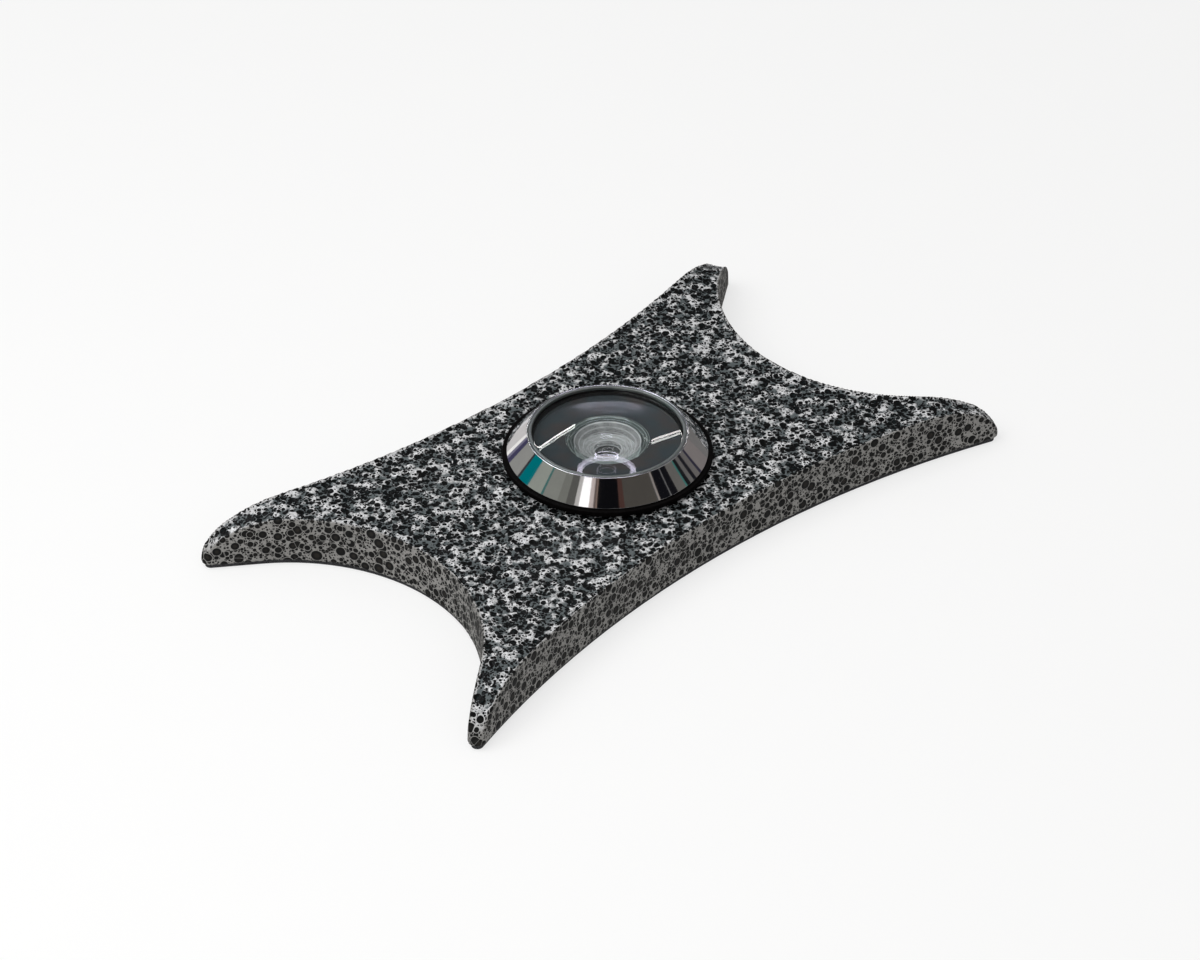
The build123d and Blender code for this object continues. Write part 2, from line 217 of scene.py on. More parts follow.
def softened(outline, closed):
    """Outline with an arc at each point that gives a rounding as its third value."""
    points = []
    for i, point in enumerate(outline):
        here = Vector(point[:2])
        rounding = point[2] if len(point) > 2 else 0
        if rounding == 0 or (not closed and i in (0, len(outline) - 1)):
            points.append(here)
            continue
        before = (Vector(outline[i - 1][:2]) - here).normalized()
        after = (Vector(outline[(i + 1) % len(outline)][:2]) - here).normalized()
        half = before.angle(after) / 2
        reach = rounding / math.tan(half)
        centre = here + (before + after).normalized() * (rounding / math.sin(half))
        first, last = here + before * reach - centre, here + after * reach - centre
        turn = first.angle_signed(last)
        for step in range(ROUND_POINTS + 1):
            angle = -turn * step / ROUND_POINTS
            points.append(centre + Vector((
                first.x * math.cos(angle) - first.y * math.sin(angle),
                first.x * math.sin(angle) + first.y * math.cos(angle),
            )))
    return points


def only(piece):
    """Makes a piece the active one and the only one selected."""
    bpy.ops.object.select_all(action="DESELECT")
    piece.select_set(True)
    bpy.context.view_layer.objects.active = piece


def edit(piece):
    """Opens a piece in edit mode with all of it selected."""
    only(piece)
    bpy.ops.object.mode_set(mode="EDIT")
    bpy.ops.mesh.select_all(action="SELECT")


def close_edit():
    """Goes back to object mode."""
    bpy.ops.object.mode_set(mode="OBJECT")


def turned(name, outline, steps, closed=True, axis=(0, 0)):
    """A piece turned about an upright axis from outline points of radius, height and rounding."""
    points = softened(outline, closed)
    bpy.ops.object.select_all(action="DESELECT")
    seed = (axis[0] + points[0].x, axis[1], points[0].y)
    bpy.ops.mesh.primitive_plane_add(size=SEED_SIZE, location=seed)
    piece = bpy.context.object
    piece.name = name
    bpy.ops.object.transform_apply(location=True, rotation=True, scale=True)
    edit(piece)
    bpy.ops.mesh.merge(type="CENTER")
    for start, end in zip(points, points[1:] + points[:1] * closed):
        step = end - start
        bpy.ops.mesh.extrude_vertices_move(TRANSFORM_OT_translate={"value": (step.x, 0, step.y)})
    bpy.ops.mesh.select_all(action="SELECT")
    bpy.ops.mesh.spin(steps=steps, angle=2 * math.pi, center=(axis[0], axis[1], 0), axis=(0, 0, 1))
    bpy.ops.mesh.select_all(action="SELECT")
    bpy.ops.mesh.remove_doubles(threshold=MERGE_DISTANCE)
    bpy.ops.mesh.normals_make_consistent(inside=False)
    close_edit()
    smooth(piece)
    return piece


def plain_ring(name, node, rounding, steps, inside=None):
    """A turned ring with a CAD ring's section and rounded corners. The inner ones may differ."""
    low, high = heights(node)
    inner, outer = radii_at(node, low)
    inside = rounding if inside is None else inside
    return turned(name, [
        (inner, low, inside), (outer, low, rounding), (outer, high, rounding), (inner, high, inside),
    ], steps)


def smooth(piece):
    """Shades a piece smooth, with its sharp edges kept and its broad faces true."""
    only(piece)
    bpy.ops.object.shade_smooth_by_angle(angle=SHARP_ANGLE)
    apply_modifier(piece, "WEIGHTED_NORMAL", keep_sharp=True)


def apply_modifier(piece, kind, **settings):
    """Adds a modifier to a piece, sets it and applies it."""
    only(piece)
    bpy.ops.object.modifier_add(type=kind)
    modifier = piece.modifiers[-1]
    for setting, value in settings.items():
        setattr(modifier, setting, value)
    bpy.ops.object.modifier_apply(modifier=modifier.name)


def cut(piece, cutter):
    """Takes a cutter's volume out of a piece and deletes the cutter."""
    apply_modifier(piece, "BOOLEAN", operation="DIFFERENCE", solver="EXACT", object=cutter)
    bpy.data.objects.remove(cutter)


def block(size, centre):
    """A block used as a cutter."""
    bpy.ops.object.select_all(action="DESELECT")
    bpy.ops.mesh.primitive_cube_add(size=1, location=centre)
    cutter = bpy.context.object
    cutter.scale = size
    bpy.ops.object.transform_apply(location=True, rotation=True, scale=True)
    return cutter


def drum(radius, base, top, centre, vertices=64):
    """A cylinder used as a cutter or as a blank."""
    bpy.ops.object.select_all(action="DESELECT")
    bpy.ops.mesh.primitive_cylinder_add(
        vertices=vertices, radius=radius, depth=top - base, location=(centre[0], centre[1], (base + top) / 2)
    )
    blank = bpy.context.object
    bpy.ops.object.transform_apply(location=True, rotation=True, scale=True)
    return blank


def dress(piece, body, node, material):
    """Gives a piece its finish, hangs it on its body and hides the CAD node that it stands for."""
    piece.data.materials.clear()
    piece.data.materials.append(material)
    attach(piece, body)
    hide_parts(node)


class Nodes:
    """Short ways to add nodes to a tree. A size is in metres."""

    def __init__(self, tree):
        self.tree = tree
        self.place = self.node("ShaderNodeTexCoord").outputs["Object"]

    def node(self, kind, **settings):
        made = self.tree.nodes.new(kind)
        for setting, value in settings.items():
            setattr(made, setting, value)
        return made

    def feed(self, value, socket):
        """Links a socket, or sets a number or colour."""
        if isinstance(value, bpy.types.NodeSocket):
            self.tree.links.new(value, socket)
        else:
            socket.default_value = value

    def maths(self, operation, first, second=0.0, clamp=False):
        made = self.node("ShaderNodeMath", operation=operation, use_clamp=clamp)
        self.feed(first, made.inputs[0])
        self.feed(second, made.inputs[1])
        return made.outputs[0]

    def plus(self, first, second):
        return self.maths("ADD", first, second)

    def minus(self, first, second):
        return self.maths("SUBTRACT", first, second)

    def times(self, first, second):
        return self.maths("MULTIPLY", first, second)

    def swing(self, value, reach):
        """A value from 0 to 1 made to swing either side of zero."""
        return self.times(self.minus(value, 0.5), reach)

    def ranged(self, value, low, high, to_low=0.0, to_high=1.0, curve="LINEAR"):
        """A value carried from one range to another and held at its ends."""
        made = self.node("ShaderNodeMapRange", interpolation_type=curve)
        for given, socket in zip((value, low, high, to_low, to_high), made.inputs):
            self.feed(given, socket)
        return made.outputs["Result"]

    def eased(self, value, low, high, to_low=0.0, to_high=1.0):
        return self.ranged(value, low, high, to_low, to_high, "SMOOTHSTEP")

    def noise(self, size, detail=2.0, roughness=0.5, place=None, stretch=(1, 1, 1)):
        made = self.node("ShaderNodeTexNoise")
        self.feed(self.scaled(place or self.place, stretch), made.inputs["Vector"])
        made.inputs["Scale"].default_value = 1 / size
        made.inputs["Detail"].default_value = detail
        made.inputs["Roughness"].default_value = roughness
        return made.outputs["Fac"]

    def scaled(self, vector, stretch):
        """A vector stretched along each axis."""
        if tuple(stretch) == (1, 1, 1):
            return vector
        made = self.node("ShaderNodeMapping")
        self.feed(vector, made.inputs["Vector"])
        made.inputs["Scale"].default_value = stretch
        return made.outputs["Vector"]

    def cells(self, size, feature="F1", place=None):
        made = self.node("ShaderNodeTexVoronoi", feature=feature)
        self.feed(place or self.place, made.inputs["Vector"])
        made.inputs["Scale"].default_value = 1 / size
        return made.outputs

    def mixed(self, factor, first, second):
        """Two colours mixed."""
        factor_input, first_colour, second_colour, colour_output = 0, 6, 7, 2
        made = self.node("ShaderNodeMix", data_type="RGBA")
        self.feed(factor, made.inputs[factor_input])
        self.feed(first, made.inputs[first_colour])
        self.feed(second, made.inputs[second_colour])
        return made.outputs[colour_output]

    def coordinates(self):
        """Outputs for the X, Y and Z of where a point lies."""
        parts = self.node("ShaderNodeSeparateXYZ")
        self.feed(self.place, parts.inputs[0])
        return parts.outputs

    def radius(self, centre=(0, 0)):
        """Distance from an upright axis."""
        parts = self.coordinates()
        squares = [self.maths("POWER", self.minus(parts[i], centre[i]), 2.0) for i in (0, 1)]
        return self.maths("SQRT", self.plus(*squares))


class Finish(Nodes):
    """A material being made, with its shader."""

    def __init__(self, name, **settings):
        self.material = bpy.data.materials.new(name)
        self.material.use_nodes = True
        super().__init__(self.material.node_tree)
        self.shader = self.tree.nodes["Principled BSDF"]
        for socket, value in settings.items():
            self.shader.inputs[socket.replace("_", " ")].default_value = value

    def turned_marks(self, spacing, centre=(0, 0)):
        """Fine uneven rings that a lathe tool leaves."""
        rings = self.node("ShaderNodeTexNoise", noise_dimensions="1D")
        self.feed(self.maths("DIVIDE", self.radius(centre), spacing), rings.inputs["W"])
        rings.inputs["Scale"].default_value = 1.0
        rings.inputs["Detail"].default_value = 3.0
        return rings.outputs["Fac"]

    def attribute(self, name):
        return self.node("ShaderNodeAttribute", attribute_name=name).outputs["Fac"]

    def colour(self, value):
        self.feed(value, self.shader.inputs["Base Color"])

    def rough(self, value):
        self.feed(value, self.shader.inputs["Roughness"])

    def bump(self, height, depth):
        made = self.node("ShaderNodeBump")
        made.inputs["Distance"].default_value = depth
        self.feed(height, made.inputs["Height"])
        self.feed(made.outputs["Normal"], self.shader.inputs["Normal"])

    def blended(self, factor, first, second):
        """Two shaders mixed."""
        made = self.node("ShaderNodeMixShader")
        for given, socket in zip((factor, first, second), made.inputs):
            self.feed(given, socket)
        return made.outputs["Shader"]

    def show(self, shader):
        """Makes a shader what the material shows."""
        self.feed(shader, self.tree.nodes["Material Output"].inputs["Surface"])

    def let_lamps_through(self):
        """Glass that casts no solid shadow."""
        shadow = self.node("ShaderNodeLightPath").outputs["Is Shadow Ray"]
        clear = self.node("ShaderNodeBsdfTransparent").outputs["BSDF"]
        self.show(self.blended(shadow, self.shader.outputs["BSDF"], clear))


# Spacing of each crop of droplets as a share of the largest one's, and the largest radius in cells
DROPLET_SIZES = ((1.0, 0.36), (0.68, 0.46), (0.44, 0.5), (0.28, 0.52), (0.17, 0.48))
# How far a crop keeps from larger droplets, and how much the largest shrink on the face, in radii
DROPLET_GAP = 0.12
FACE_SHRINK = 0.3


def droplet_crop(finish, cell, share, place):
    """Round droplets of many radii: how far in from a droplet's edge a point lies, from 1 at its middle."""
    found = finish.cells(cell, place=place)
    edge = finish.cells(cell, "DISTANCE_TO_EDGE", place)["Distance"]
    random = finish.node("ShaderNodeSeparateColor")
    finish.feed(found["Color"], random.inputs[0])
    reach = finish.ranged(random.outputs[0], 0.0, 1.0, share * 0.55, share)
    bead = finish.maths("DIVIDE", finish.minus(reach, found["Distance"]), reach)
    return finish.maths("MINIMUM", bead, finish.ranged(edge, 0.025, 0.12))


def droplets(finish, cell, crown):
    """Every crop together, in a place that wobbles a little, with smaller crops between larger ones."""
    swirl_size, wobble_reach = 0.6 * MM, 0.06 * MM
    swirl = finish.node("ShaderNodeTexNoise")
    finish.feed(finish.place, swirl.inputs["Vector"])
    swirl.inputs["Scale"].default_value = 1 / swirl_size
    wobble = finish.node("ShaderNodeVectorMath", operation="MULTIPLY_ADD")
    for given, socket in zip((swirl.outputs["Color"], (wobble_reach,) * 3, finish.place), wobble.inputs):
        finish.feed(given, socket)
    place = wobble.outputs[0]
    bead = None
    for size, share in DROPLET_SIZES:
        found = droplet_crop(finish, cell * size, share, place)
        found = finish.minus(found, finish.times(crown, FACE_SHRINK * size))
        if bead is None:
            bead = found
            continue
        apart = finish.minus(finish.times(bead, -1.0), DROPLET_GAP)
        bead = finish.maths("MAXIMUM", bead, finish.maths("MINIMUM", found, apart))
    return bead, place


def enamel_wall(finish, plate):
    """Colour of the plain walls, in faint patches."""
    patches = finish.ranged(finish.noise(5 * MM, 3, 0.6), 0.3, 0.7)
    return finish.mixed(patches, plate.wall_colour, [c * 0.85 for c in plate.wall_colour])


def enamel_face(finish, plate, bead, crest, place):
    """Colour of the hammered face: hollows darkened as painted shade, crests lightened as painted highlight,
    painted highlights round droplets, thin painted glint streaks.
    """
    painted_rim_highlight, glint = (0.85, 0.85, 0.86, 1), (0.95, 0.97, 1, 1)
    # Lighter crests and darker hollows, by height: painted highlight and painted shade on the lumps, over the
    # enamel's own grey.
    face = finish.mixed(crest, plate.valley_colour_and_shade, plate.crest_colour_and_highlight)
    # Painted highlight: a pale ring of light round each droplet's rim, on the crests.
    ring = finish.times(finish.eased(bead, -0.7, -0.15), finish.ranged(crest, 0, 0.6))
    face = finish.mixed(finish.times(ring, 0.5), face, painted_rim_highlight)
    # Painted highlight: thin glint streaks along a noise's contour lines, strongest on the crests.
    contour = finish.maths("ABSOLUTE", finish.minus(finish.noise(1.1 * MM, 2, 0.55, place), 0.5))
    painted_glint_streak = finish.times(finish.ranged(contour, 0.0, 0.03, 0.7, 0.0), finish.ranged(crest, 0.2, 0.8))
    return finish.mixed(painted_glint_streak, face, glint)


def speckled_enamel(plate):
    """Grey enamel over a wrinkled casting, with black droplets: glossy on the face, dull on the walls."""
    grit, face_edge = (0.05, 0.05, 0.052, 1), (0.003, 0.003, 0.003, 1)
    wall_pool, face_pool = (0.03, 0.026, 0.022, 1), (0.003, 0.01, 0.011, 1)
    finish = Finish("speckled_enamel", Specular_IOR_Level=0.1)
    crown = finish.attribute("crown")
    bead, place = droplets(finish, plate.droplet_cell, crown)
    grain = finish.noise(0.2 * MM, 2, 0.6)
    ripple = finish.noise(0.8 * MM, 3, 0.65)
    raised = finish.plus(finish.attribute("lumps"), finish.swing(finish.attribute("wrinkles"), 0.5))
    raised = finish.plus(raised, finish.swing(ripple, 0.7))
    crest = finish.eased(raised, 0.3, 0.7)
    bead = finish.plus(bead, finish.times(crown, finish.ranged(crest, 0.0, 1.0, 0.09, -0.04)))
    dark = finish.eased(bead, -0.06, 0.06)

    ground = finish.mixed(crown, enamel_wall(finish, plate), enamel_face(finish, plate, bead, crest, place))
    ground = finish.mixed(finish.ranged(grain, 0.4, 0.75, 0.0, 0.3), ground, grit)
    core = finish.eased(bead, 0.3, 0.75, 0.0, 0.6)
    pool = finish.mixed(crown, wall_pool, face_pool)
    edge = finish.mixed(crown, plate.droplet_colour, face_edge)
    finish.colour(finish.mixed(dark, ground, finish.mixed(core, edge, pool)))

    dull = finish.ranged(finish.noise(0.6 * MM, 2), 0.3, 0.7, 0.45, 0.62)
    bright = finish.ranged(finish.noise(0.5 * MM, 2), 0.3, 0.7, 0.1, 0.28)
    finish.rough(finish.mixed(crown, dull, bright))
    sink = finish.times(finish.eased(bead, -0.5, 0.5), finish.ranged(crown, 0, 1, 0.5, -0.8))
    height = finish.plus(sink, finish.times(grain, 0.4))
    height = finish.plus(height, finish.times(ripple, finish.times(crown, 2.5)))
    finish.bump(height, 0.06 * MM)
    return finish.material


def backing_foam():
    """Foam with fine pores."""
    finish = Finish("backing_foam", Base_Color=(0.03, 0.03, 0.033, 1), Roughness=0.9)
    pores = finish.cells(0.28 * MM)["Distance"]
    tone = finish.ranged(pores, 0.1, 0.7)
    finish.colour(finish.mixed(tone, (0.012, 0.012, 0.014, 1), (0.05, 0.05, 0.055, 1)))
    finish.rough(finish.ranged(finish.noise(1.2 * MM), 0.3, 0.7, 0.82, 0.96))
    finish.bump(pores, 0.06 * MM)
    return finish.material


def black_rubber():
    """Dull rubber with a little dust."""
    finish = Finish("black_rubber", Specular_IOR_Level=0.06)
    dust = finish.ranged(finish.noise(0.9 * MM, 4, 0.65), 0.45, 0.8, 0, 0.5)
    finish.colour(finish.mixed(dust, (0.0015, 0.001, 0.001, 1), (0.006, 0.005, 0.005, 1)))
    finish.rough(finish.ranged(finish.noise(0.4 * MM, 3), 0.3, 0.7, 0.55, 0.75))
    finish.bump(finish.noise(0.12 * MM, 2), 0.012 * MM)
    return finish.material


def polished_chrome():
    """Chrome with faint smudges and fine scratches along the axis."""
    finish = Finish("polished_chrome", Metallic=1.0, Base_Color=(0.8, 0.8, 0.81, 1))
    smudge = finish.noise(3.5 * MM, 4, 0.6)
    scratch = finish.ranged(finish.noise(0.05 * MM, 1, 0.5, stretch=(1, 1, 0.08)), 0.6, 0.8, 0, 0.03)
    tone = finish.ranged(smudge, 0.35, 0.7)
    finish.colour(finish.mixed(tone, (0.84, 0.84, 0.85, 1), (0.76, 0.76, 0.78, 1)))
    finish.rough(finish.plus(finish.ranged(smudge, 0.3, 0.75, 0.035, 0.075), scratch))
    finish.bump(finish.noise(1.6 * MM, 2), 0.0015 * MM)
    return finish.material


def turned_metal(name, colour, shade, roughness, spacing, centre=(0, 0)):
    """Bright metal with a lathe's rings on its faces."""
    finish = Finish(name, Metallic=1.0)
    marks = finish.turned_marks(spacing, centre)
    tarnish = finish.ranged(finish.noise(1.8 * MM, 3, 0.6), 0.25, 0.75, 0.55, 1.0)
    finish.colour(finish.mixed(finish.times(finish.ranged(marks, 0.3, 0.7), tarnish), shade, colour))
    finish.rough(finish.ranged(marks, 0.3, 0.7, roughness * 1.3, roughness * 0.75))
    finish.bump(marks, 0.004 * MM)
    return finish.material


def clear_glass(name, tint, ior, haze):
    """Polished glass or acrylic with the faintest wipe marks."""
    finish = Finish(name, Transmission_Weight=1.0, IOR=ior, Base_Color=tint)
    wipe = finish.noise(2.2 * MM, 3, 0.6, stretch=(1, 0.3, 1))
    smeared = [c * 0.97 for c in tint[:3]] + [1]
    finish.colour(finish.mixed(finish.ranged(wipe, 0.4, 0.8), tint, smeared))
    finish.rough(finish.ranged(wipe, 0.5, 0.85, 0.0, haze))
    finish.let_lamps_through()
    return finish.material


# Milkiness of the front lens by radius in millimetres: a clear core, a frosted bowl and a greenish
# ground land with bright turned lines
LENS_RINGS = (
    (0.0, 0.0), (0.6, 0.0), (0.7, 0.3), (0.8, 0.0), (1.86, 0.0), (1.98, 0.55), (2.12, 0.24),
    (2.6, 0.25), (2.7, 0.42), (2.82, 0.23), (3.2, 0.26), (3.32, 0.45), (3.44, 0.25), (3.86, 0.29),
    (3.96, 0.48), (4.1, 0.27), (4.48, 0.27), (4.6, 0.6), (4.74, 0.03), (4.98, 0.03), (5.06, 0.4),
    (5.16, 0.03), (5.4, 0.03), (5.5, 0.45), (5.6, 0.03), (5.76, 0.04), (5.85, 0.5), (5.95, 0.1),
)


def lens_milk(finish, radius):
    """Milkiness at a radius, read from LENS_RINGS."""
    reach = LENS_RINGS[-1][0] * MM
    ramp = finish.node("ShaderNodeValToRGB")
    finish.feed(finish.maths("DIVIDE", radius, reach), ramp.inputs["Fac"])
    stops = ramp.color_ramp.elements
    for place, milk in LENS_RINGS[1:-1]:
        stops.new(place * MM / reach)
    for stop, (place, milk) in zip(stops, LENS_RINGS):
        stop.position = place * MM / reach
        stop.color = (milk, milk, milk, 1)
    return ramp.outputs["Color"]


def frosted_optics():
    """Optical glass with a faintly milky bowl, and a ground land that shows turned lines."""
    finish = Finish("lens_glass", IOR=1.49)
    radius = finish.radius()
    land = finish.ranged(radius, 4.6 * MM, 4.8 * MM)
    finish.colour(finish.mixed(land, (0.93, 0.95, 0.95, 1), (0.68, 0.8, 0.77, 1)))
    wipe = finish.noise(1.4 * MM, 3, 0.6, stretch=(1, 0.4, 1))
    milk = finish.times(lens_milk(finish, radius), finish.ranged(wipe, 0.3, 0.7, 0.75, 1.2))
    core = finish.ranged(radius, 1.7 * MM, 2.0 * MM, 1.0, 0.0)
    specks = finish.ranged(finish.noise(0.35 * MM, 2), 0.58, 0.66, 0.0, 0.35)
    milk = finish.plus(milk, finish.times(core, specks))
    clear = finish.maths("SUBTRACT", 1.0, milk, clamp=True)
    finish.feed(clear, finish.shader.inputs["Transmission Weight"])
    finish.rough(finish.ranged(wipe, 0.45, 0.8, 0.0, 0.05))
    finish.let_lamps_through()
    return finish.material


def anodised_black():
    """Blue-black anodised metal with turned rings."""
    finish = Finish("baffle_black", Specular_IOR_Level=0.5)
    marks = finish.turned_marks(0.09 * MM)
    stain = finish.noise(5 * MM, 2, 0.5)
    cloud = finish.mixed(finish.ranged(stain, 0.42, 0.62), (0.04, 0.052, 0.058, 1), (0.06, 0.05, 0.048, 1))
    finish.colour(finish.mixed(finish.ranged(marks, 0.35, 0.7, 0, 0.35), cloud, (0.022, 0.03, 0.034, 1)))
    finish.rough(finish.ranged(marks, 0.3, 0.7, 0.05, 0.09))
    return finish.material


def moulded_plastic(name, colour, shade, roughness):
    """Moulded plastic with flow marks and a fine tool texture."""
    finish = Finish(name, Specular_IOR_Level=0.45)
    flow = finish.noise(2.4 * MM, 3, 0.55, stretch=(1, 0.5, 1))
    finish.colour(finish.mixed(finish.ranged(flow, 0.3, 0.75), shade, colour))
    finish.rough(finish.ranged(finish.noise(0.5 * MM, 3), 0.3, 0.7, roughness * 0.85, roughness * 1.15))
    finish.bump(finish.noise(0.09 * MM, 2), 0.006 * MM)
    return finish.material


class DOORVIEWER_OT_plate(bpy.types.Operator):
    """Cast plate with a hammered face, smooth walls and a speckled enamel"""

    bl_idname = "doorviewer.plate"
    bl_label = "Escutcheon Plate"

    def execute(self, context):
        plate = context.scene.door_viewer_plate
        piece = bpy.data.objects.new("hammered_plate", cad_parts["escutcheon_plate"].data.copy())
        context.scene.collection.objects.link(piece)
        edit(piece)
        bpy.ops.mesh.remove_doubles(threshold=MERGE_DISTANCE)
        bpy.ops.mesh.customdata_custom_splitnormals_clear()
        close_edit()
        apply_modifier(piece, "REMESH", mode="VOXEL", voxel_size=plate.grain, use_smooth_shade=True)
        apply_modifier(piece, "SMOOTH", factor=0.5, iterations=3)
        self.mark_crown(piece)
        self.hammer(piece, plate)
        self.thin_underside(piece)
        dress(piece, "street_side", "escutcheon_plate", speckled_enamel(plate))
        return {"FINISHED"}

    def mark_crown(self, piece):
        """Weights the face and the horns' sloping tops, where the hammering goes."""
        steep, level = 0.35, 0.8
        slopes = [(vertex.normal.z - steep) / (level - steep) for vertex in piece.data.vertices]
        weights = [min(1.0, max(0.0, slope)) for slope in slopes]
        group = piece.vertex_groups.new(name="crown_area")
        for index, weight in enumerate(weights):
            group.add([index], weight, "REPLACE")
        crown = piece.data.attributes.new("crown", "FLOAT", "POINT")
        crown.data.foreach_set("value", weights)

    def hammer(self, piece, plate):
        """Sinks lumps, then wrinkles, into the weighted face, and keeps each one's height for the enamel."""
        lumps = bpy.data.textures.new("lumps", type="CLOUDS")
        lumps.noise_scale = plate.lump_size
        lumps.noise_depth = 1
        wrinkles = bpy.data.textures.new("wrinkles", type="CLOUDS")
        wrinkles.noise_scale = plate.wrinkle_size
        wrinkles.noise_depth = 2
        wrinkles.noise_type = "HARD_NOISE"
        for texture, depth in ((lumps, plate.lump_depth), (wrinkles, plate.wrinkle_depth)):
            before = [vertex.co.copy() for vertex in piece.data.vertices]
            apply_modifier(
                piece, "DISPLACE", texture=texture, texture_coords="LOCAL", direction="NORMAL",
                vertex_group="crown_area", strength=depth, mid_level=1.0,
            )
            pairs = zip(piece.data.vertices, before)
            left = [1 - (vertex.co - start).length / depth for vertex, start in pairs]
            height = piece.data.attributes.new(texture.name, "FLOAT", "POINT")
            height.data.foreach_set("value", left)

    def thin_underside(self, piece):
        """Collapses most faces of the flat underside, which rests on the backing gasket."""
        reach, facing_down, kept_share = 0.1 * MM, -0.99, 0.72
        base = heights("escutcheon_plate")[0]
        group = piece.vertex_groups.new(name="underside")
        for vertex in piece.data.vertices:
            if vertex.co.z < base + reach and vertex.normal.z < facing_down:
                group.add([vertex.index], 1.0, "REPLACE")
        apply_modifier(piece, "DECIMATE", ratio=kept_share, vertex_group="underside", vertex_group_factor=10)
        bpy.ops.object.shade_smooth()


class DOORVIEWER_OT_gaskets(bpy.types.Operator):
    """Foam backing, and the rubber rings under the head and under the window"""

    bl_idname = "doorviewer.gaskets"
    bl_label = "Gaskets"

    def execute(self, context):
        turning = context.scene.door_viewer_turning
        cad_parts["backing_gasket"].material_slots[0].material = backing_foam()
        rubber = black_rubber()
        for node, name, rounding in (
            ("flange_gasket", "rubber_flange_gasket", turning.moulded_round),
            ("window_seal", "rubber_window_seal", turning.moulded_round * 0.6),
        ):
            piece = plain_ring(name, node, rounding, turning.steps, inside=0)
            dress(piece, "street_side", node, rubber)
        return {"FINISHED"}


class DOORVIEWER_OT_head(bpy.types.Operator):
    """Chromed outer barrel with its coned flange, and the bright ring that holds the window"""

    bl_idname = "doorviewer.head"
    bl_label = "Head and Outer Barrel"

    def execute(self, context):
        turning = context.scene.door_viewer_turning
        edge, bevel = turning.edge_round, turning.rim_bevel
        end_bevel, lead_in = bevel * 2, bevel * 2.5
        base, top = heights("outer_barrel")
        seat = heights("light_baffle")[0]
        flange_base = heights("flange_gasket")[1]
        bore, recess = radii_at("outer_barrel", seat)
        barrel, neck = radii_at("outer_barrel", 0)
        rim = radii_at("outer_barrel", top)[1] + bevel
        flange = radius_of("outer_barrel")
        piece = turned("chromed_outer_barrel", [
            (bore, base),
            *self.grooves(turning, bore, base + lead_in),
            (bore, seat),
            (recess, seat),
            (recess, top, edge),
            (rim, top, bevel),
            (flange, flange_base + turning.flange_edge, edge),
            (flange, flange_base, edge),
            (neck, flange_base),
            (neck, 0),
            (barrel, 0),
            (barrel, base, end_bevel),
        ], turning.steps)
        dress(piece, "street_side", "outer_barrel", polished_chrome())

        low, high = heights("bezel_ring")
        inner, outer = radii_at("bezel_ring", high)
        ring = turned("turned_bezel", [
            (inner, low, edge), (outer, low, edge), (outer, high, edge), (inner + edge, high, edge),
            (inner, high - edge * 2, edge / 2),
        ], turning.steps)
        bright = turned_metal("bright_rim", (0.55, 0.58, 0.56, 1), (0.38, 0.41, 0.4, 1), 0.34, 0.05 * MM)
        dress(ring, "street_side", "bezel_ring", bright)
        return {"FINISHED"}

    def grooves(self, turning, bore, start):
        """Outline of the thread inside the barrel, from the room end up."""
        half = (turning.thread_pitch - turning.thread_land) / 2
        outline = []
        for turn in range(turning.inner_grooves):
            middle = start + turning.thread_pitch * (turn + 1)
            outline += [(bore, middle - half), (bore + turning.thread_depth, middle), (bore, middle + half)]
        return outline


class DOORVIEWER_OT_window(bpy.types.Operator):
    """Shallow domed window, and the black dish between it and the lens"""

    bl_idname = "doorviewer.window"
    bl_label = "Window and Baffle"

    def execute(self, context):
        turning = context.scene.door_viewer_turning
        base, top = heights("front_window")
        land = heights("bezel_ring")[0]
        inner = radii_at("bezel_ring", land)[0]
        outer = radius_of("front_window")
        piece = turned("domed_window", [
            *bowed((0, top), (inner, land)),
            (outer, land, turning.edge_round), (outer, base, turning.edge_round),
            *reversed(bowed((0, base + top - land), (inner, base))),
        ], turning.steps, closed=False)
        glass = clear_glass("window_glass", (0.97, 0.99, 0.99, 1), 1.49, 0.03)
        dress(piece, "street_side", "front_window", glass)

        low, high = heights("light_baffle")
        lip, rim = radii_at("light_baffle", high)
        seat = radii_at("window_seal", high)[0]
        slope = []
        for i in range(1, ARC_POINTS + 1):
            radius = seat + (lip - seat) * i / ARC_POINTS
            slope.append((radius, high - turning.dish_drop * (seat**2 - radius**2) / (seat**2 - lip**2)))
        outline = [(lip, low), (rim, low), (rim, high), (seat, high), *slope]
        dish = turned("black_dish", outline, turning.steps)
        dress(dish, "street_side", "light_baffle", anodised_black())
        return {"FINISHED"}


def bowed_lens(name, low, base, top, high, corner, outer, turning):
    """A lens bowed on both faces: its lower middle and land, upper land and middle, bowl and edge radius."""
    return turned(name, [
        *bowed((0, high), (corner, top)),
        (outer, top, turning.edge_round), (outer, base, turning.edge_round),
        *reversed(bowed((0, low), (corner, base))),
    ], turning.small_steps, closed=False)


def spanner_ring(name, node, turning):
    """Retaining ring, threaded in the real viewer but plain here, with two spanner slots across its lower
    face.
    """
    slot_width, slot_depth = 1.0 * MM, 0.7 * MM
    low, high = heights(node)
    inner, outer = radii_at(node, high)
    edge = turning.edge_round
    ring = turned(name, [
        (inner, low, edge * 2), (outer, low, edge), (outer, high, edge), (inner, high, edge),
    ], turning.small_steps)
    cut(ring, block((3 * outer, slot_width, 2 * slot_depth), (0, 0, low)))
    smooth(ring)
    return ring


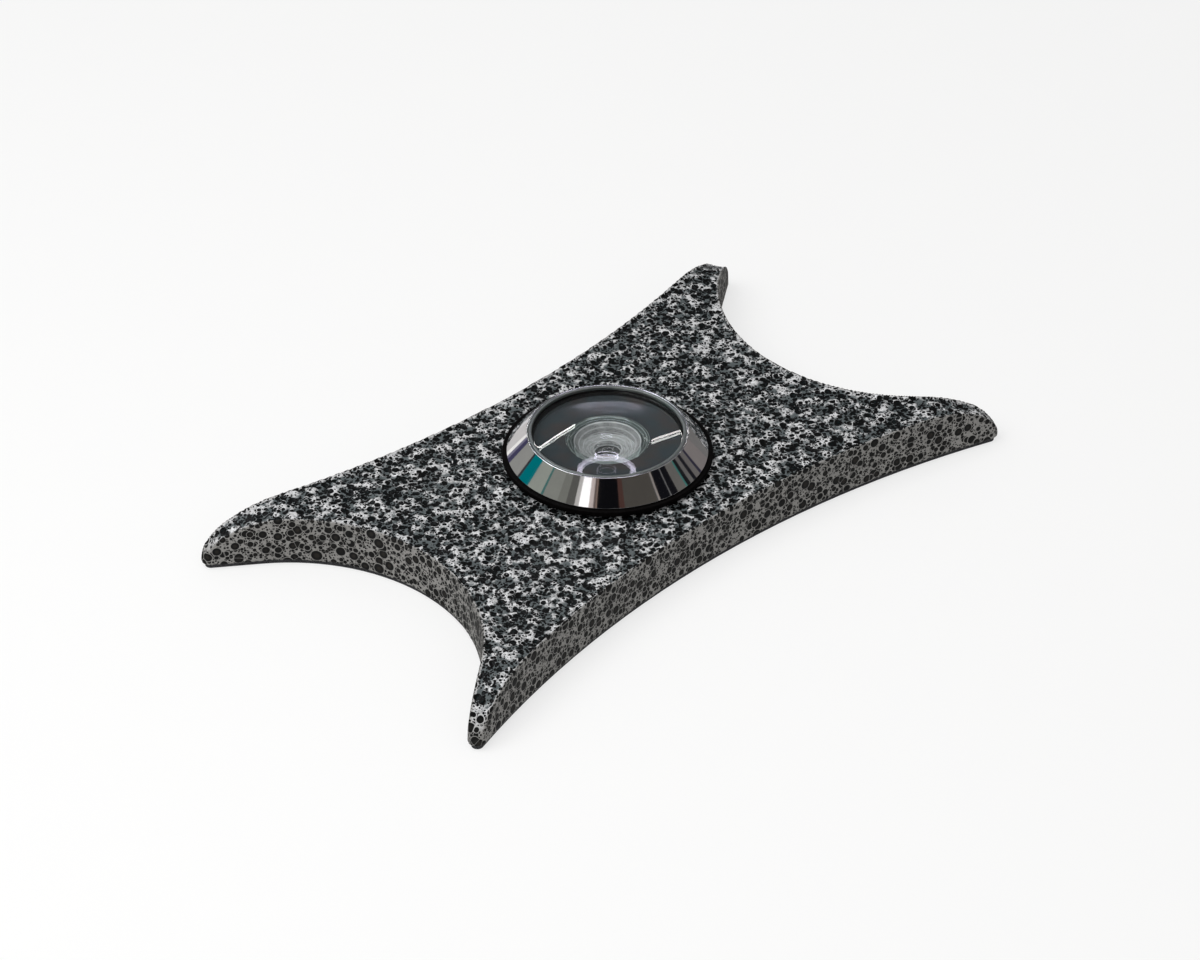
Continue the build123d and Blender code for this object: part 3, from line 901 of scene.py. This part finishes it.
class DOORVIEWER_OT_lens_stack(bpy.types.Operator):
    """The two dished lenses, their spacers, and the brass ring that holds them in the barrel"""

    bl_idname = "doorviewer.lens_stack"
    bl_label = "Lens Stack"

    def execute(self, context):
        turning = context.scene.door_viewer_turning
        self.front_lens(turning)
        self.rear_lens(turning)
        plastic = moulded_plastic("spacer_plastic", (0.06, 0.06, 0.06, 1), (0.035, 0.035, 0.036, 1), 0.45)
        for node, name in (("front_lens_spacer", "front_spacer"), ("rear_lens_spacer", "rear_spacer")):
            piece = plain_ring(name, node, turning.edge_round, turning.small_steps)
            dress(piece, "street_side", node, plastic)
        brass = turned_metal("ring_brass", (0.78, 0.6, 0.3, 1), (0.5, 0.36, 0.16, 1), 0.28, 0.07 * MM)
        ring = spanner_ring("brass_lens_ring", "lens_retaining_ring", turning)
        dress(ring, "street_side", "lens_retaining_ring", brass)
        return {"FINISHED"}

    def front_lens(self, turning):
        """Lens with a bowl above, a stepped land round it and a flat face below."""
        base, top = heights("front_lens")
        outer = radius_of("front_lens")
        corners = [vertex.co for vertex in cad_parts["front_lens"].data.vertices]
        bowl = min(corner.xy.length for corner in corners if abs(corner.z - top) < MERGE_DISTANCE)
        above = [corner for corner in corners if corner.z > base + MERGE_DISTANCE]
        bottom = min(corner.z for corner in above if corner.xy.length < bowl / 2)
        step = turning.land_step
        middle = (bowl + outer) / 2
        piece = turned("dished_front_lens", [
            *bowed((0, bottom), (bowl, top - step)),
            (middle, top - step, step / 4), (middle, top, step / 4),
            (outer, top, turning.edge_round), (outer, base, turning.edge_round), (0, base),
        ], turning.steps, closed=False)
        dress(piece, "street_side", "front_lens", frosted_optics())

    def rear_lens(self, turning):
        """Lens with a bowl on either face."""
        base, top = heights("rear_lens")
        corners = [vertex.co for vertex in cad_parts["rear_lens"].data.vertices]
        bowls = [corner.z for corner in corners if corner.xy.length < MERGE_DISTANCE]
        corner = radii_at("rear_lens", top)[0]
        piece = bowed_lens(
            "dished_rear_lens", min(bowls), base, top, max(bowls), corner, radius_of("rear_lens"), turning
        )
        glass = clear_glass("rear_glass", (0.88, 0.95, 0.93, 1), 1.49, 0.02)
        dress(piece, "street_side", "rear_lens", glass)


class DOORVIEWER_OT_inner_barrel(bpy.types.Operator):
    """Inner barrel: a threaded sight tube with a flange that a coin turns"""

    bl_idname = "doorviewer.inner_barrel"
    bl_label = "Inner Barrel"

    def execute(self, context):
        lens_clearance, seat_depth, mouth, flange_round = 0.05 * MM, 4.0 * MM, 1.0 * MM, 0.8 * MM
        slot_reach, slot_width, slot_depth = 9.2 * MM, 2.0 * MM, 1.2 * MM
        rivet_hole, hole_depth = 1.0 * MM, 1.5 * MM
        turning = context.scene.door_viewer_turning
        edge = turning.edge_round
        face, top = heights("inner_barrel")
        shoulder = heights("inner_washer")[0]
        stop_base = heights("field_stop")[0]
        flange = radius_of("inner_barrel")
        bore = radius_of("eyepiece_lens") + lens_clearance
        sight = radii_at("inner_barrel", stop_base)[0]
        stop = radius_of("field_stop")
        seat = radii_at("inner_barrel", top)[1]
        crest = seat + turning.thread_depth
        neck = top - turning.thread_pitch * (turning.outer_ridges + 1)
        piece = turned("nickel_inner_barrel", [
            (stop, top),
            (seat, top, edge),
            *self.ridges(turning, seat, crest, top),
            (seat, neck),
            (crest, neck - turning.thread_depth),
            (crest, shoulder),
            (flange, shoulder, edge * 2),
            (flange, face, flange_round),
            (bore + mouth, face, edge),
            (bore, face + mouth, edge),
            (bore, face + seat_depth),
            (sight, face + seat_depth),
            (sight, stop_base),
            (stop, stop_base),
        ], turning.small_steps * 3 // 2)
        cut(piece, block((2 * slot_reach, slot_width, 2 * slot_depth), (0, 0, face)))
        cut(piece, drum(rivet_hole, face - MM, face + hole_depth, axis_of("cover_rivet")))
        smooth(piece)
        nickel = turned_metal("satin_nickel", (0.66, 0.64, 0.6, 1), (0.5, 0.48, 0.45, 1), 0.3, 0.12 * MM)
        dress(piece, "eyepiece_assembly", "inner_barrel", nickel)
        return {"FINISHED"}

    def ridges(self, turning, seat, crest, top):
        """Outline of the thread on the tube, from its street end down."""
        half = (turning.thread_pitch - turning.thread_land) / 2
        tip = turning.thread_land / 2
        outline = []
        for turn in range(turning.outer_ridges):
            middle = top - turning.thread_pitch * (turn + 1)
            outline += [
                (seat, middle + half), (crest - tip, middle + tip), (crest - tip, middle - tip),
                (seat, middle - half),
            ]
        return outline


class DOORVIEWER_OT_eyepiece(bpy.types.Operator):
    """Eyepiece lens, its retaining ring, and the field stop at the tube's far end"""

    bl_idname = "doorviewer.eyepiece"
    bl_label = "Eyepiece"

    def execute(self, context):
        land_height = 1.2 * MM
        turning = context.scene.door_viewer_turning
        bottom, top = heights("eyepiece_lens")
        base = heights("eyepiece_retaining_ring")[1]
        corner = radii_at("eyepiece_retaining_ring", base)[0]
        outer = radius_of("eyepiece_lens")
        lens = bowed_lens("eyepiece_glass", bottom, base, base + land_height, top, corner, outer, turning)
        glass = clear_glass("eyepiece_glass", (0.93, 0.975, 0.955, 1), 1.5, 0.04)
        dress(lens, "eyepiece_assembly", "eyepiece_lens", glass)

        ring = spanner_ring("brass_eyepiece_ring", "eyepiece_retaining_ring", turning)
        brass = bpy.data.materials["ring_brass"]
        dress(ring, "eyepiece_assembly", "eyepiece_retaining_ring", brass)

        stop = plain_ring("black_field_stop", "field_stop", turning.edge_round, turning.small_steps)
        dress(stop, "eyepiece_assembly", "field_stop", bpy.data.materials["baffle_black"])
        return {"FINISHED"}


class DOORVIEWER_OT_washer(bpy.types.Operator):
    """Nylon washer between the inner flange and the door"""

    bl_idname = "doorviewer.washer"
    bl_label = "Inner Washer"

    def execute(self, context):
        turning = context.scene.door_viewer_turning
        washer = plain_ring("nylon_washer", "inner_washer", turning.moulded_round, turning.small_steps)
        nylon = moulded_plastic("washer_nylon", (0.78, 0.77, 0.71, 1), (0.7, 0.68, 0.61, 1), 0.4)
        dress(washer, "washer", "inner_washer", nylon)
        return {"FINISHED"}


class DOORVIEWER_OT_cover(bpy.types.Operator):
    """Swinging privacy cover with its shouldered rivet and spring washer"""

    bl_idname = "doorviewer.cover"
    bl_label = "Privacy Cover"

    def execute(self, context):
        turning = context.scene.door_viewer_turning
        self.cover(turning)
        self.rivet(turning)
        self.spring_washer(turning)
        return {"FINISHED"}

    def cover(self, turning):
        """Disc drawn out to an ear at the pivot, with a thumb tab opposite and a bevelled edge."""
        hole, bevel = 1.06 * MM, 0.18 * MM
        low, high = heights("privacy_cover")
        box_low, box_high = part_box("privacy_cover")
        disc = (box_high.x - box_low.x) / 2
        pivot = axis_of("cover_rivet")
        steps = turning.small_steps
        piece = drum(disc, low, high, (0, 0), steps)
        ear = drum(box_high.y - pivot.y, low, high, pivot, steps // 2)
        only(piece)
        ear.select_set(True)
        bpy.ops.object.join()
        edit(piece)
        bpy.ops.mesh.convex_hull()
        close_edit()
        thumb = drum(-disc - box_low.y, low, high, (0, -disc), steps // 2)
        apply_modifier(piece, "BOOLEAN", operation="UNION", solver="EXACT", object=thumb)
        bpy.data.objects.remove(thumb)
        cut(piece, drum(hole, low - MM, high + MM, pivot, vertices=48))
        apply_modifier(
            piece, "BEVEL", width=bevel, segments=3, limit_method="ANGLE", angle_limit=math.radians(50)
        )
        piece.name = "nickel_privacy_cover"
        smooth(piece)
        dress(piece, "cover", "privacy_cover", bpy.data.materials["satin_nickel"])

    def rivet(self, turning):
        """Domed head, the shoulder that the cover turns on, and the shank in the flange."""
        pivot = axis_of("cover_rivet").xy
        bottom, top = heights("cover_rivet")
        face = heights("inner_barrel")[0]
        cover_top = heights("privacy_cover")[1]
        head_base = heights("cover_spring_washer")[0]
        shank = radii_at("cover_rivet", top)[1]
        shoulder = radii_at("cover_rivet", cover_top)[1]
        piece = turned("steel_rivet", [
            *bowed((0, bottom), (radius_of("cover_rivet"), head_base), count=12),
            (shank, head_base), (shank, cover_top), (shoulder, cover_top), (shoulder, face),
            (shank, face), (shank, top), (0, top),
        ], turning.small_steps // 2, closed=False, axis=pivot)
        steel = turned_metal(
            "rivet_steel", (0.62, 0.62, 0.62, 1), (0.45, 0.45, 0.46, 1), 0.24, 0.08 * MM, centre=pivot
        )
        dress(piece, "eyepiece_assembly", "cover_rivet", steel)

    def spring_washer(self, turning):
        """Coned washer that presses the cover against the flange."""
        sheet = 0.2 * MM
        low, high = heights("cover_spring_washer")
        outer = radius_of("cover_spring_washer")
        inner = radii_at("cover_spring_washer", low)[0]
        piece = turned("spring_washer", [
            (inner, low), (outer, high - sheet), (outer, high), (inner, low + sheet),
        ], turning.small_steps // 2, axis=axis_of("cover_spring_washer").xy)
        steel = bpy.data.materials["rivet_steel"]
        dress(piece, "eyepiece_assembly", "cover_spring_washer", steel)


# What the chrome cone shows: upright bands round the studio, each from the turn where the last one
# ends to its own, in degrees from the camera, with its colour
BANDS_START = -156
REFLECTED_BANDS = (
    (-140, "white_wall", (0.62, 0.6, 0.59)),
    (-136, "bright_edge", (0.95, 0.93, 0.9)),
    (-133, "pale_violet", (0.2, 0.19, 0.26)),
    (-128, "violet_edge", (0.06, 0.055, 0.11)),
    (-111, "grey_wall", (0.3, 0.3, 0.28)),
    (-108.5, "dark_edge", (0.03, 0.03, 0.04)),
    (-96, "teal_cloth", (0.0, 0.17, 0.19)),
    (-79.5, "pale_olive", (0.3, 0.32, 0.28)),
    (-77, "teal_edge", (0.06, 0.15, 0.14)),
    (-60, "olive_wall", (0.23, 0.235, 0.21)),
    (-50, "olive_shade", (0.18, 0.182, 0.162)),
    (-40, "dark_olive", (0.1, 0.098, 0.09)),
    (-35, "soft_highlight", (0.5, 0.48, 0.46)),
    (-23, "highlight", (1.3, 1.27, 1.26)),
    (-17.5, "pink_highlight", (0.55, 0.47, 0.44)),
    (-14.6, "brown_shade", (0.12, 0.09, 0.08)),
    (-13.2, "brown_line", (0.28, 0.2, 0.16)),
    (14.5, "black_wall", (0.004, 0.004, 0.005)),
    (21, "red_brown", (0.07, 0.036, 0.03)),
    (61, "brown_wall", (0.07, 0.064, 0.056)),
    (63.2, "pale_line", (0.28, 0.25, 0.23)),
    (75, "black_post", (0.006, 0.006, 0.008)),
    (76.3, "grey_line", (0.13, 0.13, 0.13)),
    (84, "black_door", (0.007, 0.007, 0.009)),
    (94.5, "grey_door", (0.13, 0.125, 0.115)),
    (96.2, "teal_line", (0.05, 0.17, 0.15)),
    (100.5, "dark_door", (0.01, 0.01, 0.012)),
    (105, "grey_post", (0.13, 0.125, 0.12)),
    (109, "dark_post", (0.012, 0.012, 0.016)),
    (115, "grey_strip", (0.14, 0.13, 0.125)),
    (118, "violet_post", (0.03, 0.028, 0.045)),
    (134, "lavender_wall", (0.2, 0.18, 0.175)),
    (152, "far_grey", (0.17, 0.165, 0.16)),
)
# Height of the sky that the cone shows at each turn from the camera, in degrees
CONE_SKY = ((0, 45), (31, 43), (60, 37), (84, 28.7), (106, 18.6), (125, 7.5), (142, -4.2), (160, -12))
BAND_HEIGHT = 50
BAND_DISTANCE = 0.7
# Ring-shaped lamps that the window shows: height above the horizon in degrees, outer and inner radius in
# metres, how tall each is for its width, and strength
RING_LIGHTS = (
    ("ring_light", 43.5, 0.0275, 0.0225, 1.0, 4.8),
    ("ring_core", 43.5, 0.0092, 0.0079, 1.0, 1.3),
    ("ring_far", 40.8, 0.0112, 0.0092, 0.6, 9.0),
    ("ring_small", 36.9, 0.0052, 0.004, 0.5, 5.0),
)
RING_COLOUR = (0.86, 0.82, 1.0)
# Narrow panels that the window shows as streaks: turn from the camera, height above the horizon, width and
# height of the panel in degrees, colour and strength
STRIPS = (
    ("strip_right", 173.7, 36.4, 0.3, 3.6, (1.0, 0.97, 0.95), 10.0),
    ("strip_left", -174.6, 36.9, 0.18, 5.6, (1.0, 1.0, 0.98), 16.0),
)
STRIP_LEAN = -41
WINDOW_LIGHT_DISTANCE = 0.6
# Softboxes that glint on the enamel and the metal and aren't seen through glass, laid out as the strips
SOFTBOXES = (
    ("glint_right", 150, 52, 10, 20, (1.0, 1.0, 1.0), 0.4),
    ("glint_left", -143, 50, 12, 22, (0.9, 0.95, 1.0), 4.0),
    ("back_softbox", -165, 76, 30, 16, (1.0, 1.0, 1.0), 1.3),
    ("left_softbox", -112, 58, 24, 24, (0.93, 0.96, 1.0), 4.0),
    ("right_softbox", 128, 56, 22, 22, (1.0, 0.99, 0.97), 0.4),
)
SOFTBOX_DISTANCE = 0.9
# Lamps: turn from the camera and height in degrees, distance and size in metres, share of the key's power
LAMPS = (("key", -58, 58, 0.4, 0.3, 1.0), ("fill", 20, 40, 0.8, 0.5, 0.35))
DOME_RADIUS = 1.1
DIM_ROOM = (0.1, 0.105, 0.11)
LOW_BAND_SIZE = 1 / 2.2
SENSOR_WIDTH = 36


def flat_ring(name, inner, outer, vertices, height=0.0):
    """A flat ring round the Z axis."""
    bpy.ops.object.select_all(action="DESELECT")
    bpy.ops.mesh.primitive_circle_add(vertices=vertices, radius=inner, location=(0, 0, height))
    ring = bpy.context.object
    ring.name = name
    bpy.ops.object.transform_apply(location=True)
    edit(ring)
    bpy.ops.mesh.extrude_region_move()
    bpy.ops.transform.resize(value=(outer / inner, outer / inner, 1))
    close_edit()
    return ring


class DOORVIEWER_OT_stage(bpy.types.Operator):
    """Pale floor, soft light, what the chrome shows, and the camera"""

    bl_idname = "doorviewer.stage"
    bl_label = "Stage"

    def execute(self, context):
        studio = context.scene.door_viewer_studio
        self.floor(studio)
        self.world(context, studio)
        self.lamps(context, studio)
        self.surroundings(studio)
        self.camera(context, studio)
        context.scene.view_settings.view_transform = "Standard"
        return {"FINISHED"}

    def direction(self, azimuth, elevation):
        """Unit vector from the object at an azimuth, where 0 is -Y, and an elevation."""
        level = math.cos(elevation)
        return Vector((math.sin(azimuth) * level, -math.cos(azimuth) * level, math.sin(elevation)))

    def face_object(self, thing, studio, turn, rise, distance, lean=0):
        """Faces a thing at the object, placed by its turn from the camera and its height in degrees."""
        out = self.direction(studio.azimuth + math.radians(turn), math.radians(rise))
        thing.location = out * distance
        thing.rotation_mode = "QUATERNION"
        thing.rotation_quaternion = out.to_track_quat("Z", "Y") @ Quaternion((0, 0, 1), math.radians(lean))

    def floor(self, studio):
        """Floor that the barrel passes through, faded out before its edge and open from below."""
        clearance, drop, lift = 1.04, 0.02 * MM, 0.7
        hole = radii_at("outer_barrel", 0)[1] * clearance
        floor = flat_ring("floor", hole, studio.floor_radius, vertices=96, height=-drop)
        edit(floor)
        bpy.ops.mesh.normals_make_consistent(inside=False)
        close_edit()
        if floor.data.polygons[0].normal.z < 0:
            floor.data.flip_normals()
        finish = Finish("floor_paint", Roughness=0.85, Specular_IOR_Level=0.1)
        paper = finish.ranged(finish.noise(9 * MM, 3), 0.3, 0.7)
        shade = [c * 0.99 for c in studio.floor_colour]
        finish.colour(finish.mixed(paper, studio.floor_colour, shade))
        fade = finish.eased(finish.radius(), studio.floor_radius - studio.floor_fade, studio.floor_radius)
        under = finish.node("ShaderNodeNewGeometry").outputs["Backfacing"]
        seen = finish.node("ShaderNodeLightPath").outputs["Is Camera Ray"]
        white = finish.node("ShaderNodeEmission").outputs["Emission"]
        clear = finish.node("ShaderNodeBsdfTransparent").outputs["BSDF"]
        lifted = finish.blended(finish.times(seen, lift), finish.shader.outputs["BSDF"], white)
        finish.show(finish.blended(finish.maths("MAXIMUM", fade, under), lifted, clear))
        floor.data.materials.append(finish.material)
        floor.visible_glossy = False

    def world(self, context, studio):
        """Even light, and white where the camera, metal or glass look past everything."""
        world = bpy.data.worlds.new("even_light")
        context.scene.world = world
        world.use_nodes = True
        nodes = Nodes(world.node_tree)
        rays = nodes.node("ShaderNodeLightPath").outputs
        seen = nodes.maths("MAXIMUM", rays["Is Camera Ray"], rays["Is Glossy Ray"])
        seen = nodes.maths("MAXIMUM", seen, rays["Is Transmission Ray"])
        background = nodes.tree.nodes["Background"]
        nodes.feed(nodes.ranged(seen, 0.0, 1.0, studio.ambient, 1.0), background.inputs["Strength"])
        nodes.feed((1, 1, 1, 1), background.inputs["Color"])

    def lamps(self, context, studio):
        """A soft key from the near left, and a weak fill from beside the camera."""
        for name, turn, rise, distance, size, share in LAMPS:
            lamp = bpy.data.lights.new(name, "AREA")
            lamp.energy = studio.key_power * share
            lamp.size = size
            holder = bpy.data.objects.new(name, lamp)
            context.scene.collection.objects.link(holder)
            holder.visible_glossy = False
            holder.visible_transmission = False
            self.face_object(holder, studio, turn, rise, distance)

    def panel(self, name, studio, turn, rise, wide, high, colour, strength, distance, lean=0):
        """A glowing panel that faces the object and that only reflections and glass show."""
        bpy.ops.object.select_all(action="DESELECT")
        bpy.ops.mesh.primitive_plane_add(size=1)
        panel = bpy.context.object
        panel.name = name
        self.face_object(panel, studio, turn, rise, distance, lean)
        sides = [2 * distance * math.tan(math.radians(angle) / 2) for angle in (wide, high)]
        panel.scale = (*sides, 1)
        self.only_reflected(panel, name, colour, strength)
        return panel

    def only_reflected(self, thing, name, colour, strength):
        """Makes a thing glow, seen in reflections and through glass but not by the camera."""
        material = bpy.data.materials.new(name)
        material.use_nodes = True
        tree = material.node_tree
        tree.nodes.remove(tree.nodes["Principled BSDF"])
        glow = tree.nodes.new("ShaderNodeEmission")
        glow.inputs["Color"].default_value = (*colour, 1)
        glow.inputs["Strength"].default_value = strength
        tree.links.new(glow.outputs["Emission"], tree.nodes["Material Output"].inputs["Surface"])
        thing.data.materials.append(material)
        for ray in ("camera", "diffuse", "shadow", "volume_scatter"):
            setattr(thing, f"visible_{ray}", False)

    def surroundings(self, studio):
        """A dim dome with the bands, rings, streaks and softboxes that the object reflects."""
        bpy.ops.object.select_all(action="DESELECT")
        bpy.ops.mesh.primitive_uv_sphere_add(segments=48, ring_count=24, radius=DOME_RADIUS)
        dome = bpy.context.object
        dome.name = "dim_room"
        self.only_reflected(dome, "dim_room", DIM_ROOM, 1.0)
        self.light_low_room(dome.data.materials[0])
        start = BANDS_START
        for end, name, colour in REFLECTED_BANDS:
            turn = (start + end) / 2
            rise = self.sky_height(abs(turn))
            wide = (end - start) * math.cos(math.radians(rise))
            self.panel(name, studio, turn, rise, wide, BAND_HEIGHT, colour, 1.0, BAND_DISTANCE)
            start = end
        for name, *settings in STRIPS:
            self.panel(name, studio, *settings, WINDOW_LIGHT_DISTANCE, STRIP_LEAN)
        for name, rise, outer, inner, squash, strength in RING_LIGHTS:
            self.ring_light(studio, name, rise, outer, inner, squash, strength)
        for name, *settings in SOFTBOXES:
            softbox = self.panel(name, studio, *settings, SOFTBOX_DISTANCE)
            softbox.visible_transmission = False

    def light_low_room(self, material):
        """Soft upright bands below the door's face, for the barrels to show."""
        upright, dark_band, light_band = (1, 1, 0.05), 0.12, 0.95
        fade_top, fade_bottom = -0.01, -0.05
        nodes = Nodes(material.node_tree)
        bands = nodes.noise(LOW_BAND_SIZE, 1.0, stretch=upright)
        shade = nodes.ranged(bands, 0.4, 0.62, dark_band, light_band)
        low = nodes.ranged(nodes.coordinates()["Z"], fade_top, fade_bottom)
        colour = nodes.mixed(low, (*DIM_ROOM, 1), shade)
        nodes.feed(colour, nodes.tree.nodes["Emission"].inputs["Color"])

    def sky_height(self, turn):
        """Height in degrees of the sky that the cone shows at a turn from the camera."""
        for (low, start), (high, end) in zip(CONE_SKY, CONE_SKY[1:]):
            if turn <= high:
                return start + (end - start) * (turn - low) / (high - low)
        return CONE_SKY[-1][1]

    def ring_light(self, studio, name, rise, outer, inner, squash, strength):
        """Ring-shaped lamp opposite the camera, for the window to show."""
        ring = flat_ring(name, inner, outer, vertices=64)
        self.face_object(ring, studio, turn=180, rise=rise, distance=WINDOW_LIGHT_DISTANCE)
        ring.scale = (1, squash, 1)
        self.only_reflected(ring, name, RING_COLOUR, strength)

    def camera(self, context, studio):
        """Camera in the photograph's place."""
        camera = bpy.data.objects.new("camera", bpy.data.cameras.new("camera"))
        context.scene.collection.objects.link(camera)
        back = self.direction(studio.azimuth, studio.elevation)
        camera.location = Vector(studio.aim) + back * studio.distance
        camera.rotation_mode = "QUATERNION"
        camera.rotation_quaternion = (-back).to_track_quat("-Z", "Y")
        camera.data.lens = studio.lens
        camera.data.sensor_width = SENSOR_WIDTH
        camera.data.clip_start = 0.01
        camera.data.clip_end = 10
        context.scene.camera = camera


class DOORVIEWER_PT_panel(bpy.types.Panel):
    """Lists the pieces of the door viewer and their sizes"""

    bl_idname = "DOORVIEWER_PT_panel"
    bl_label = "Door Viewer"
    bl_space_type = "VIEW_3D"
    bl_region_type = "UI"
    bl_category = "Door Viewer"

    def draw(self, context):
        scene = context.scene
        for group in (scene.door_viewer_plate, scene.door_viewer_turning, scene.door_viewer_studio):
            box = self.layout.box()
            for name in group.__annotations__:
                box.prop(group, name)
        for operator in OPERATORS:
            self.layout.operator(operator.bl_idname)


OPERATORS = (
    DOORVIEWER_OT_plate,
    DOORVIEWER_OT_gaskets,
    DOORVIEWER_OT_head,
    DOORVIEWER_OT_window,
    DOORVIEWER_OT_lens_stack,
    DOORVIEWER_OT_inner_barrel,
    DOORVIEWER_OT_eyepiece,
    DOORVIEWER_OT_washer,
    DOORVIEWER_OT_cover,
    DOORVIEWER_OT_stage,
)
CLASSES = (DoorViewerPlate, DoorViewerTurning, DoorViewerStudio, *OPERATORS, DOORVIEWER_PT_panel)


def register():
    for kind in CLASSES:
        bpy.utils.register_class(kind)
    bpy.types.Scene.door_viewer_plate = PointerProperty(type=DoorViewerPlate)
    bpy.types.Scene.door_viewer_turning = PointerProperty(type=DoorViewerTurning)
    bpy.types.Scene.door_viewer_studio = PointerProperty(type=DoorViewerStudio)


def unregister():
    del bpy.types.Scene.door_viewer_plate
    del bpy.types.Scene.door_viewer_turning
    del bpy.types.Scene.door_viewer_studio
    for kind in reversed(CLASSES):
        bpy.utils.unregister_class(kind)


def main():
    """Builds every piece."""
    register()
    for operator in OPERATORS:
        group, name = operator.bl_idname.split(".")
        getattr(getattr(bpy.ops, group), name)()


if __name__ == "__main__":
    main()
